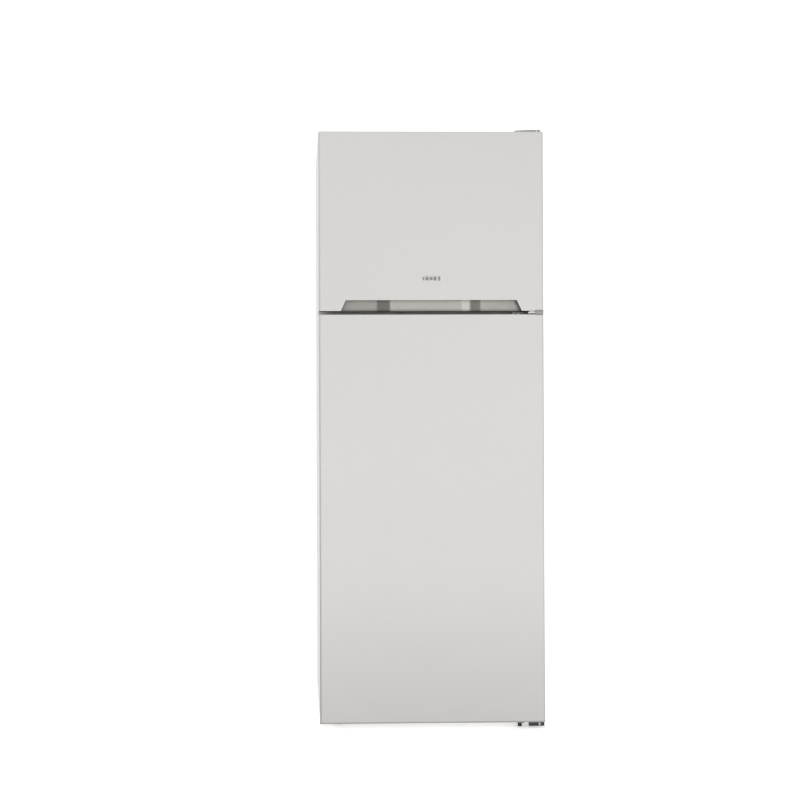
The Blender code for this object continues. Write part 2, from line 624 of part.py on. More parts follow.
def door_insides(prefix, door, caps, ring, depth):
    """Foam, inner liner with its ridge, and magnetic gasket of one door."""
    bottom, top = door
    z0, z1 = ring
    wide = DIKE_OUT - DIKE_IN
    x = HALF_W - SHEET - GAP
    plate = DOOR_REAR - 0.0015
    end = DOOR_REAR + depth
    t = 0.0015
    inner = ((-DIKE_IN, z0 + wide), (DIKE_IN, z1 - wide))
    blocks(prefix + "_liner", "liner_white", [
        (1, (-x, plate, bottom + 0.0005), (x, DOOR_REAR, top - 0.0005)),
        (1, (-DIKE_OUT, DOOR_REAR, z0), (DIKE_OUT, end, z1)),
        (-1, (-DIKE_OUT + t, plate, z0 + t), (DIKE_OUT - t, end - t, z1 - t)),
        (1, (-DIKE_IN - t, plate, z0 + wide - t), (DIKE_IN + t, end - t, z1 - wide + t)),
        (-1, (-DIKE_IN, DOOR_REAR, z0 + wide), (DIKE_IN, end, z1 - wide)),
    ])
    t += GAP
    front = DOOR_FRONT + SHEET + GAP
    rear = plate - GAP
    blocks(prefix + "_foam", "foam", [
        (1, (-x + 0.0045, front, caps[0] + GAP), (x - 0.0045, rear, caps[1] - GAP)),
        (1, (-x, front + 0.0045, caps[0] + GAP), (x, rear, caps[1] - GAP)),
        (1, (-DIKE_OUT + t, rear, z0 + t), (DIKE_OUT - t, end - t, z1 - t)),
        (-1, (-DIKE_IN - t, rear, z0 + wide - t), (DIKE_IN + t, end - t, z1 - wide + t)),
    ])


def gasket(name, x, z, thick=0.018):
    """A ring with a broad foot on the door and a narrower sealing face."""
    (x0, x1), (z0, z1) = x, z
    foot, face = DOOR_REAR + GAP, CAB_FRONT - 0.0005
    w = thick
    blocks(name, "gasket", [
        (1, (x0, foot, z0), (x1, foot + 0.004, z1)),
        (1, (x0 + 0.002, foot, z0 + 0.002), (x1 - 0.002, face, z1 - 0.002)),
        (-1, (x0 + w - 0.002, foot + 0.004, z0 + w - 0.002), (x1 - w + 0.002, face, z1 - w + 0.002)),
        (-1, (x0 + w, foot, z0 + w), (x1 - w, face, z1 - w)),
    ])


def freezer_door():
    bottom, top = FREEZER_DOOR
    caps = (bottom + 0.062, top - 0.020)
    low, high, edge = RECESS

    def trapezoid(grow, sink=0.0):
        slope = (low - high) / (edge - bottom)
        below = bottom - sink
        return [(-low - grow - slope * sink, below), (low + grow + slope * sink, below),
                (high + grow, edge + grow), (-high - grow, edge + grow)]

    skin = door_skin("freezer_door_skin", bottom, top)
    cut(skin, prism("notch", "foam", trapezoid(0.0, 0.02), "y", -0.36, -0.33))
    pin = (HINGE, 0.0044)
    cut(end_cap("freezer_door_top_cap", "cap_plastic", caps[1], top), rod(*pin, "z", top - 0.016, top + 0.01))
    cap = end_cap("freezer_door_bottom_cap", "cap_plastic", bottom, caps[0])
    pocket = 0.0235
    cut(cap, rod(*pin, "z", bottom - 0.01, bottom + 0.016),
        prism("bay", "foam", trapezoid(0.0023, 0.02), "y", -0.36, RECESS_BACK + 0.0023),
        slab((-0.2573, -0.3382, edge - 0.01), (0.2573, RECESS_BACK + 0.0023, edge + pocket)))
    insert = prism("handle_insert", "silver", trapezoid(0.002), "y", DOOR_FRONT + 0.0013, RECESS_BACK + 0.002)
    unite(insert, slab((-0.257, -0.3377, edge - 0.012), (0.257, RECESS_BACK + 0.002, edge + pocket - 0.0004)))
    cut(insert, prism("hollow", "foam", trapezoid(0.0, 0.02), "y", -0.36, RECESS_BACK),
        slab((-0.255, -0.3358, edge - 0.014), (0.255, RECESS_BACK, edge + pocket - 0.0024)))
    door_insides("freezer_door", FREEZER_DOOR, caps, (FREEZER_FLOOR + 0.010, FREEZER_CEIL - 0.010), 0.065)
    gasket("freezer_door_gasket", (-0.325, 0.325), (bottom + 0.004, FREEZER_CEIL + 0.027))
    mark = [[(px, at, pz) for px, pz in rounded(-0.0285 + d, 0.0285 - d, 1.3905 + d, 1.4065 - d, 0.0035 - d, 3)]
            for d, at in ((0.0, DOOR_FRONT - GAP), (0.0, DOOR_FRONT - 0.0010), (0.0006, DOOR_FRONT - 0.0014))]
    stack("badge", "silver", mark)
    for name, z in (("freezer_bin_lower", 1.3660), ("freezer_bin_upper", 1.5760)):
        tray(name, "clear_plastic", (-0.261, 0.261), (-0.279, -0.180), (z, z + 0.080), 0.0022, 0.0022, 0.012, 0.0)


def fridge_door():
    bottom, top = FRIDGE_DOOR
    caps = (bottom + 0.022, top - 0.024)
    door_skin("fridge_door_skin", bottom, top)
    cut(end_cap("fridge_door_bottom_cap", "cap_plastic", bottom, caps[0]),
        rod(HINGE, 0.0044, "z", bottom - 0.01, bottom + 0.016))
    cut(end_cap("fridge_door_top_cap", "cap_plastic", caps[1], top), rod(HINGE, 0.0044, "z", top - 0.016, top + 0.01),
        slab((-0.220, -0.3340, top - 0.018), (0.220, -0.3120, top + 0.01)))
    door_insides("fridge_door", FRIDGE_DOOR, caps, (FRIDGE_FLOOR + 0.012, FRIDGE_CEIL - 0.012), 0.075)
    gasket("fridge_door_gasket", (-0.325, 0.325), (0.052, top - 0.004))
    wide, deep = (-0.261, 0.261), (-0.279, -0.170)
    tray("fridge_bin_upper", "clear_plastic", wide, deep, (0.720, 0.815), 0.0022, 0.0022)
    tray("fridge_bin_lower", "clear_plastic", wide, deep, (0.460, 0.555), 0.0022, 0.0022)
    tray("bottle_bin", "clear_plastic", wide, deep, (0.125, 0.275), 0.0024, 0.0024)
    y, z = FLAP_AXIS
    dairy = tray("dairy_bin", "clear_plastic", wide, deep, (0.975, 1.055), 0.0022, 0.0022)
    for s in (-1, 1):
        a, b = sorted((s * 0.261, s * 0.2588))
        ear = slab((a, -0.279, 1.045), (b, -0.258, 1.114))
        unite(dairy, ear)
    cut(dairy, rod((y, z), 0.0030, "x", -0.3, 0.3, 16))
    flap = blocks("dairy_flap", "clear_plastic", [
        (1, (-0.2575, -0.2745, 1.1060), (0.2575, -0.1700, 1.1085)),
        (1, (-0.2575, -0.1725, 1.0570), (0.2575, -0.1700, 1.1085)),
        (1, (-0.2575, -0.2745, 1.1010), (-0.2450, -0.2675, 1.1085)),
        (1, (0.2450, -0.2745, 1.1010), (0.2575, -0.2675, 1.1085)),
        (1, (-0.0600, -0.1700, 1.0570), (0.0600, -0.1660, 1.0610)),
    ])
    for s in (-1, 1):
        a, b = sorted((s * 0.250, s * 0.2605))
        unite(flap, rod((y, z), 0.0026, "x", a, b, 12))


side_panels()
top_panel()
cabinet_foam()
liners()
rails_and_base()
hinges()
feet()
cooling_circuit()
freezer_interior()
fridge_interior()
freezer_door()
fridge_door()

# ---- what moves, each on its own axis ----------------------------------------------------------
hang("freezer_door", (*HINGE, FREEZER_DOOR[0]), "freezer_door_skin", "freezer_door_foam", "freezer_door_top_cap",
     "freezer_door_bottom_cap", "freezer_door_liner", "freezer_door_gasket", "handle_insert", "badge",
     "freezer_bin_lower", "freezer_bin_upper")
hang("fridge_door", (*HINGE, FRIDGE_DOOR[0]), "fridge_door_skin", "fridge_door_foam", "fridge_door_top_cap",
     "fridge_door_bottom_cap", "fridge_door_liner", "fridge_door_gasket", "dairy_bin", "fridge_bin_upper",
     "fridge_bin_lower", "bottle_bin")
hang("flap", (0.0, *FLAP_AXIS), "dairy_flap")
on("fridge_door", "flap")
hang("crisper", (0.0, -0.105, 0.0795), "crisper_drawer")
hang("chiller", (0.0, -0.105, CHILLER_Z[0]), "chiller_drawer")
hang("ice_drawer", (-0.172, -0.118, FREEZER_FLOOR), "ice_box")
hang("slider", (-0.027, -0.1365, CRISPER_COVER_Z), "humidity_slider")
hang("knob", (KNOB[0], -0.1, KNOB[1]), "thermostat_knob")
hang("tray_left", (TRAY_X[0], -0.12, TRAY_Z), "ice_tray_left")
hang("tray_right", (TRAY_X[1], -0.12, TRAY_Z), "ice_tray_right")
hang("fan", (FAN[0], 0.2175, FAN[1]), "fan_blade")
hang("wheel_left", (-ROLLER_X, ROLLER_Y, ROLLER_R), "roller_left")
hang("wheel_right", (ROLLER_X, ROLLER_Y, ROLLER_R), "roller_right")
hang("foot_left", (*FOOT_LEFT, 0.0), "front_foot_left")
hang("foot_right", (*FOOT_RIGHT, 0.0), "front_foot_right")
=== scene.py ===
"""Looks of a top freezer refrigerator: finishes for every solid, and the small parts and mouldings
that the solids leave plain. Metres, +Z up, front towards -Y, both doors hung at the right.
"""

import math

import bmesh
import bpy
from mathutils import Matrix, Vector


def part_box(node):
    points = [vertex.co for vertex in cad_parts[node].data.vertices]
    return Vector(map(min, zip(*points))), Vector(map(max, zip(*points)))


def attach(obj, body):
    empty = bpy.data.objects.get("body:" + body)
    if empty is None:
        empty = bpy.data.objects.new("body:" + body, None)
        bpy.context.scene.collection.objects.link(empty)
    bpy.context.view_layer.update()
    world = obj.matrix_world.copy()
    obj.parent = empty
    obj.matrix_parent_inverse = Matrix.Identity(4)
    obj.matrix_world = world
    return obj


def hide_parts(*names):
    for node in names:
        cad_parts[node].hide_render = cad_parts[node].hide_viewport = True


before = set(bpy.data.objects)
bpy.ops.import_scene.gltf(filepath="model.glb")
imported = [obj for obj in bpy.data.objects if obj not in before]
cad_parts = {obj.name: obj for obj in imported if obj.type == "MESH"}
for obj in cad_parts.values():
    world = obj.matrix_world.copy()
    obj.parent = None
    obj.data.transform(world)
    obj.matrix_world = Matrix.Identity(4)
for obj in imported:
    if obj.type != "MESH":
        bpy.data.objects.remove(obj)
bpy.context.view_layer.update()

# ---- places taken from the solids --------------------------------------------------------------
HINGE_X, HINGE_Y = 0.327, -0.308  # axis of both doors
DOOR_REAR = -0.28
CAB_FRONT, CAB_REAR = -0.268, 0.322
CAB_TOP, COVER_TOP = 1.8575, 1.865
HALF_W = 0.35
FRIDGE_DOOR = (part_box("fridge_door_skin")[0].z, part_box("fridge_door_skin")[1].z)
FREEZER_DOOR = (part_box("freezer_door_skin")[0].z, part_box("freezer_door_skin")[1].z)
FRIDGE_Z, FREEZER_Z = (0.078, 1.26), (1.325, 1.7975)  # insides of the compartments
INNER_X, FLANGE_X = 0.3, 0.3055  # half widths of the compartments, and of the flange round them
GAP_Z = (FRIDGE_DOOR[1] + FREEZER_DOOR[0]) / 2
SCREWED_Y = CAB_FRONT - 0.0018  # front of the hinge flanges that are screwed to the cabinet
DIAL = (0.0, 1.2405)  # centre of the thermostat
FREEZER_BINS = ("freezer_bin_lower", "freezer_bin_upper")
FRIDGE_BINS = ("bottle_bin", "fridge_bin_lower", "fridge_bin_upper", "dairy_bin")
TINY = 0.0001  # radius at which a turned shape closes


# ---- materials ---------------------------------------------------------------------------------
ENAMEL = (0.629, 0.62, 0.607)
# The cabinet's white is the doors' enamel made darker: painted shade for the cabinet panels.
CABINET_SHADED = (0.575, 0.568, 0.556)
FOOT_Z = 1.2985  # lower edge of the silver strip
NOISE_SPAN = (0.3, 0.7)  # where nearly all of a noise texture's values lie


class Finish:
    """A node material that starts from one colour and gains detail step by step."""

    def __init__(self, name, colour, rough, metallic=0.0, **sockets):
        self.mat = bpy.data.materials.new(name)
        self.mat.use_nodes = True
        self.mat.diffuse_color = (*colour, 1)
        self.tree = self.mat.node_tree
        self.shader = self.tree.nodes["Principled BSDF"]
        self.shader.inputs["Metallic"].default_value = metallic
        for socket, value in sockets.items():
            self.shader.inputs[socket.replace("_", " ")].default_value = value
        self.where = self.node("ShaderNodeTexCoord").outputs["Object"]
        self.colour, self.rough = colour, rough
        self.height = self.tone = None

    def node(self, kind, **settings):
        made = self.tree.nodes.new(kind)
        for key, value in settings.items():
            setattr(made, key, value)
        return made

    def link(self, source, target):
        self.tree.links.new(source, target)

    def noise(self, scale, detail=3.0, rough=0.5, stretch=(1, 1, 1)):
        mapping = self.node("ShaderNodeMapping")
        mapping.inputs["Scale"].default_value = stretch
        self.link(self.where, mapping.inputs["Vector"])
        made = self.node("ShaderNodeTexNoise")
        made.inputs["Scale"].default_value = scale
        made.inputs["Detail"].default_value = detail
        made.inputs["Roughness"].default_value = rough
        self.link(mapping.outputs[0], made.inputs["Vector"])
        return made.outputs["Fac"]

    def cells(self, scale, output="Distance"):
        made = self.node("ShaderNodeTexVoronoi")
        made.inputs["Scale"].default_value = scale
        self.link(self.where, made.inputs["Vector"])
        return made.outputs[output]

    def remap(self, value, low, high, from_low=0.0, from_high=1.0, smooth=False):
        made = self.node("ShaderNodeMapRange")
        if smooth:
            made.interpolation_type = "SMOOTHSTEP"
        numbers = {"From Min": from_low, "From Max": from_high, "To Min": low, "To Max": high}
        for socket, number in numbers.items():
            made.inputs[socket].default_value = number
        self.link(value, made.inputs["Value"])
        return made.outputs["Result"]

    def maths(self, operation, a, b):
        made = self.node("ShaderNodeMath", operation=operation)
        for socket, value in zip(made.inputs, (a, b)):
            if isinstance(value, (int, float)):
                socket.default_value = value
            else:
                self.link(value, socket)
        return made.outputs[0]

    def shade(self, factor):
        """Multiplies the colour by a value that varies over the surface."""
        self.tone = factor if self.tone is None else self.maths("MULTIPLY", self.tone, factor)
        return self

    def mottle(self, scale, amount, detail=3.0):
        """Cloudy light and dark, as plastic and paint have."""
        return self.shade(self.remap(self.noise(scale, detail), 1 - amount, 1 + amount, *NOISE_SPAN))

    def polish(self, scale, amount):
        """Roughness that wanders round its mean."""
        low, high = self.rough - amount, self.rough + amount
        self.link(self.remap(self.noise(scale), low, high, *NOISE_SPAN), self.shader.inputs["Roughness"])
        return self

    def grain(self, scale, depth, stretch=(1, 1, 1), value=None):
        """Surface relief, depth in metres."""
        bump = self.node("ShaderNodeBump")
        bump.inputs["Strength"].default_value = 1.0
        bump.inputs["Distance"].default_value = depth
        self.link(value or self.noise(scale, 2.0, 0.55, stretch), bump.inputs["Height"])
        if self.height is not None:
            self.link(self.height, bump.inputs["Normal"])
        self.height = bump.outputs["Normal"]
        return self

    def axis(self, letter):
        split = self.node("ShaderNodeSeparateXYZ")
        self.link(self.where, split.inputs[0])
        return split.outputs[letter]

    def done(self):
        base = self.shader.inputs["Base Color"]
        base.default_value = (*self.colour, 1)
        if self.tone is not None:
            mix = self.node("ShaderNodeMix", data_type="RGBA", blend_type="MULTIPLY")
            mix.inputs["Factor"].default_value = 1.0
            mix.inputs["A"].default_value = (*self.colour, 1)
            grey = self.node("ShaderNodeCombineColor")
            for channel in grey.inputs:
                self.link(self.tone, channel)
            self.link(grey.outputs[0], mix.inputs["B"])
            self.link(mix.outputs["Result"], base)
        if self.height is not None:
            self.link(self.height, self.shader.inputs["Normal"])
        return self.mat


def painted(name, colour, rough=0.34, coat=0.25):
    """Baked enamel on steel: orange peel and faint clouds."""
    made = Finish(name, colour, rough, IOR=1.5, Coat_Weight=coat, Coat_Roughness=0.18)
    made.mottle(2.2, 0.008, 2.0).mottle(60.0, 0.006)
    made.polish(9.0, 0.05).grain(420.0, 0.00004).grain(55.0, 0.00006)
    return made


def door_enamel():
    door = painted("enamel_door", ENAMEL)
    across, deep, height = (door.axis(letter) for letter in "XYZ")
    # Painted shade: darker towards the floor, and slowly darker towards the top.
    door.shade(door.remap(height, 0.835, 1.0, -0.02, 0.56, smooth=True))
    door.shade(door.remap(height, 1.0, 0.94, 0.8, 1.85))
    # Painted shade on the rolled upright edges, strongest low down at the left.
    arc = door.remap(door.maths("ABSOLUTE", across, 0.0), 0.0, 1.0, 0.3432, 0.3472, smooth=True)
    arc = door.maths("MULTIPLY", arc, door.remap(deep, 1.0, 0.0, -0.3366, -0.334, smooth=True))
    left = door.remap(across, 1.0, 0.0, -0.1, 0.1)
    left = door.maths("MULTIPLY", left, door.remap(height, 0.3, 0.02, 0.0, 1.85))
    painted_edge_shade = door.maths("MULTIPLY", arc, door.maths("ADD", left, 0.16))
    door.shade(door.maths("SUBTRACT", 1.0, painted_edge_shade))
    # Painted shade at the folded edges: a faint dark line at the top, and a dark seam line above the bottom
    # cap with the skin below it a little darker.
    door.shade(door.remap(height, 1.0, 0.92, 1.8525, 1.854, smooth=True))
    seam = door.maths("ABSOLUTE", door.maths("SUBTRACT", height, 0.0224), 0.0)
    door.shade(door.remap(seam, 0.6, 1.0, 0.001, 0.0028, smooth=True))
    return door.shade(door.remap(height, 0.84, 1.0, 0.0205, 0.0226, smooth=True)).done()


def satin_silver():
    """Satin metallised strip: painted reflections as broad upright bands of tone, and painted shade under
    the top edge, along the lower edge and towards the slanted ends.
    """
    satin = Finish("satin_silver", (0.4, 0.39, 0.37), 0.34, 0.25)
    ramp = satin.node("ShaderNodeValToRGB")
    ramp.color_ramp.interpolation = "LINEAR"
    painted_reflection_bands = (  # place across, level
        (-0.262, 0.84), (-0.171, 0.84), (-0.166, 0.34), (-0.13, 0.38), (-0.125, 1.13),
        (0.094, 1.1), (0.101, 1.46), (0.119, 1.42), (0.126, 0.42), (0.152, 0.44),
        (0.158, 1.05), (0.188, 0.98), (0.262, 0.95),
    )
    span, brightest = 0.6, 1.5
    while len(ramp.color_ramp.elements) < len(painted_reflection_bands):
        ramp.color_ramp.elements.new(0.5)
    for element, (x, level) in zip(ramp.color_ramp.elements, painted_reflection_bands):
        element.position = x / span + 0.5
        element.color = (level / brightest,) * 3 + (1,)
    place = satin.maths("ADD", satin.maths("MULTIPLY", satin.axis("X"), 1 / span), 0.5)
    satin.link(place, ramp.inputs["Fac"])
    satin.shade(satin.maths("MULTIPLY", ramp.outputs["Color"], brightest))
    height = satin.axis("Z")
    # Painted shade: a little darker under the top edge, much darker along the lower edge.
    satin.shade(satin.remap(height, 1.0, 0.95, 1.3275, 1.33, smooth=True))
    satin.shade(satin.remap(height, 0.42, 1.0, FOOT_Z, 1.308, smooth=True))
    # Painted shade towards the slanted ends of the recess: the reach is taken at the foot of the slant.
    lean = satin.maths("MULTIPLY", satin.maths("SUBTRACT", height, FOOT_Z), 0.457)
    for side, start, level in ((1, 0.269, 0.5), (-1, 0.2745, 0.7)):
        reach = satin.maths("ADD", satin.maths("MULTIPLY", satin.axis("X"), side), lean)
        satin.shade(satin.remap(reach, 1.0, level, start, 0.28, smooth=True))
    return satin.mottle(50.0, 0.02).polish(30.0, 0.05).grain(800.0, 0.00002, (0.05, 1, 1)).done()


# finish: name, colour, roughness, metallic, mottle, polish, grain (scale, depth, stretch), sockets
PLAIN = {
    "black_steel": ("black_enamel", (0.022, 0.022, 0.024), 0.42, 0.0,
        (18.0, 0.25), (25.0, 0.1), (260.0, 0.00008), {"IOR": 1.5}),
    "liner_white": ("styrene_liner", (0.8, 0.805, 0.8), 0.34, 0.0,
        (3.0, 0.01), (12.0, 0.04), (330.0, 0.00004), {"IOR": 1.5}),
    "cap_plastic": ("moulded_cap", (0.6, 0.59, 0.565), 0.45, 0.0,
        (12.0, 0.03), (40.0, 0.07), (900.0, 0.00005), {}),
    # Painted shade: a darker copy of the cap plastic, for the caps that face the gap between the doors.
    "cap_shaded": ("moulded_cap_shaded", (0.145, 0.143, 0.138), 0.5, 0.0,
        (12.0, 0.05), (40.0, 0.07), (900.0, 0.00005), {}),
    "hinge_grey": ("moulded_grey", (0.33, 0.33, 0.322), 0.5, 0.0,
        (30.0, 0.05), (60.0, 0.08), (1100.0, 0.00005), {}),
    "hinge_steel": ("plated_steel", (0.5, 0.5, 0.49), 0.36, 0.85,
        (40.0, 0.09), (70.0, 0.1), (500.0, 0.00003, (1, 8, 1)), {}),
    "gasket": ("soft_vinyl", (0.56, 0.555, 0.54), 0.62, 0.0,
        (20.0, 0.04), (50.0, 0.08), (700.0, 0.00006), {"Sheen_Weight": 0.1}),
    "clear_plastic": ("clear_styrene", (0.965, 0.98, 0.985), 0.08, 0.0, (14.0, 0.03), (30.0, 0.05),
        (60.0, 0.00015), {"Transmission_Weight": 0.8, "IOR": 1.46}),
    "shelf_glass": ("float_glass", (0.94, 0.985, 0.97), 0.03, 0.0, (6.0, 0.02), (18.0, 0.02),
        (9.0, 0.00006), {"Transmission_Weight": 0.93, "IOR": 1.5}),
    "lens": ("frosted_lens", (0.87, 0.89, 0.9), 0.32, 0.0, (9.0, 0.03), (30.0, 0.06),
        (160.0, 0.0003, (1, 0.05, 1)), {"Transmission_Weight": 0.55, "IOR": 1.46}),
    "aluminium": ("fin_aluminium", (0.72, 0.73, 0.74), 0.33, 0.95,
        (25.0, 0.06), (50.0, 0.1), (700.0, 0.00005, (1, 1, 0.1)), {}),
    "rubber": ("black_rubber", (0.028, 0.028, 0.028), 0.75, 0.0,
        (40.0, 0.2), (60.0, 0.08), (600.0, 0.0001), {}),
    "copper": ("copper_tube", (0.62, 0.33, 0.2), 0.32, 0.95,
        (60.0, 0.14), (90.0, 0.12), (700.0, 0.00004), {}),
    "ink": ("printed_ink", (0.1, 0.1, 0.11), 0.5, 0.0,
        (80.0, 0.1), (80.0, 0.06), (900.0, 0.00002), {}),
    "mark": ("mark_metal", (0.235, 0.235, 0.232), 0.36, 0.35,
        (90.0, 0.08), (120.0, 0.08), (900.0, 0.00003), {}),
    "nylon": ("nylon_bush", (0.62, 0.62, 0.6), 0.4, 0.0,
        (60.0, 0.04), (60.0, 0.06), (900.0, 0.00003), {}),
}


def all_finishes():
    m = {"door": door_enamel(), "silver": satin_silver()}
    # The cabinet panels take the darker, painted-shade copy of the enamel.
    m["white_steel"] = painted("enamel_cabinet_shaded", CABINET_SHADED, 0.46, 0.1).done()
    m["base"] = painted("enamel_base", ENAMEL, 0.4).done()
    zinc = Finish("zinc_sheet", (0.56, 0.57, 0.58), 0.42, 0.9)
    split = zinc.node("ShaderNodeSeparateColor")
    zinc.link(zinc.cells(85.0, "Color"), split.inputs[0])
    zinc.shade(zinc.remap(split.outputs[0], 0.86, 1.08)).mottle(4.0, 0.06)
    m["galvanised"] = zinc.polish(30.0, 0.09).grain(500.0, 0.00003).done()
    foam = Finish("urethane_foam", (0.8, 0.66, 0.36), 0.9)
    m["foam"] = foam.mottle(30.0, 0.1).polish(50.0, 0.05).grain(0, 0.0005, value=foam.cells(420.0)).done()
    for key, (name, colour, rough, metallic, mottle, polish, grain, sockets) in PLAIN.items():
        made = Finish(name, colour, rough, metallic, **sockets)
        m[key] = made.mottle(*mottle).polish(*polish).grain(*grain).done()
    return m


MAT = all_finishes()
FINISH_OF = {
    "door": "freezer_door_skin fridge_door_skin badge",
    "white_steel": "side_panel_left side_panel_right top_panel divider_rail",
    "galvanised": "back_panel compressor_plate",
    "base": "base_panel",
    "black_steel": "compressor condenser_coil bottom_hinge",
    "foam": "cabinet_foam freezer_door_foam fridge_door_foam",
    "liner_white": "freezer_liner fridge_liner evaporator_cover ice_maker_frame lamp_housing air_duct_cover "
        "freezer_door_liner fridge_door_liner",
    "cap_plastic": "freezer_door_top_cap fridge_door_bottom_cap fan_blade humidity_slider thermostat_knob "
        "roller_left roller_right",
    # The caps facing the gap between the doors take the darker, painted-shade copy of the cap plastic.
    "cap_shaded": "freezer_door_bottom_cap fridge_door_top_cap",
    "hinge_grey": "top_hinge_cover",
    "hinge_steel": "top_hinge_bracket middle_hinge",
    "silver": "handle_insert",
    "gasket": "freezer_door_gasket fridge_door_gasket",
    "clear_plastic": "bottle_bin chiller_drawer crisper_drawer dairy_bin dairy_flap freezer_bin_lower "
        "freezer_bin_upper fridge_bin_lower fridge_bin_upper ice_box ice_tray_left ice_tray_right",
    "shelf_glass": "crisper_cover freezer_shelf shelf_lower shelf_middle shelf_upper",
    "lens": "lamp_lens",
    "aluminium": "evaporator",
    "rubber": "front_foot_left front_foot_right",
}
PLAIN_ROUNDING = 0.0005  # how far the edges of a solid are eased, in metres
ROUNDING = {
    0.0003: "back_panel badge base_panel divider_rail",
    0.0004: "freezer_door_skin fridge_door_skin side_panel_left side_panel_right top_panel "
        "compressor_plate handle_insert",
    0.0006: "middle_hinge top_hinge_bracket",
    0.0007: "humidity_slider dairy_flap",
    0.0008: "evaporator_cover bottom_hinge",
    0.0009: "chiller_drawer ice_maker_frame",
    0.001: "crisper_drawer",
    0.0012: "air_duct_cover",
    0.0015: "lamp_housing",
}


def dress_solids():
    width = {name: size for size, names in ROUNDING.items() for name in names.split()}
    for finish, names in FINISH_OF.items():
        for name in names.split():
            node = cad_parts[name]
            faces = node.data.polygons
            node.data.materials.clear()
            node.data.materials.append(MAT[finish])
            faces.foreach_set("material_index", [0] * len(faces))
            faces.foreach_set("use_smooth", [True] * len(faces))
            node.modifiers.new("weld", "WELD").merge_threshold = 0.00002
            bevel = node.modifiers.new("ease", "BEVEL")
            bevel.width = width.get(name, PLAIN_ROUNDING)
            bevel.segments = 2
            bevel.limit_method = "ANGLE"
            bevel.angle_limit = math.radians(38)
            node.modifiers.new("level", "WEIGHTED_NORMAL").keep_sharp = True


# ---- mesh building -----------------------------------------------------------------------------
def ring(x0, x1, y0, y1, radius, steps=4):
    """A rectangle with rounded corners, counter-clockwise."""
    out = []
    radius = max(radius, 1e-5)
    for cx, cy, start in (
        (x1 - radius, y0 + radius, -90), (x1 - radius, y1 - radius, 0),
        (x0 + radius, y1 - radius, 90), (x0 + radius, y0 + radius, 180),
    ):
        for i in range(steps + 1):
            t = math.radians(start + 90 * i / steps)
            out.append((cx + radius * math.cos(t), cy + radius * math.sin(t)))
    return out


def turns(count):
    return [2 * math.pi * i / count for i in range(count)]


def oval(x, y, rx, ry, count=56):
    return [(x + rx * math.cos(t), y + ry * math.sin(t)) for t in turns(count)]


def placed(point, axis, at):
    """A 2-D point set across an axis: x takes (y, z), y takes (x, z), z takes (x, y)."""
    out = list(point)
    out.insert("xyz".index(axis), at)
    return out


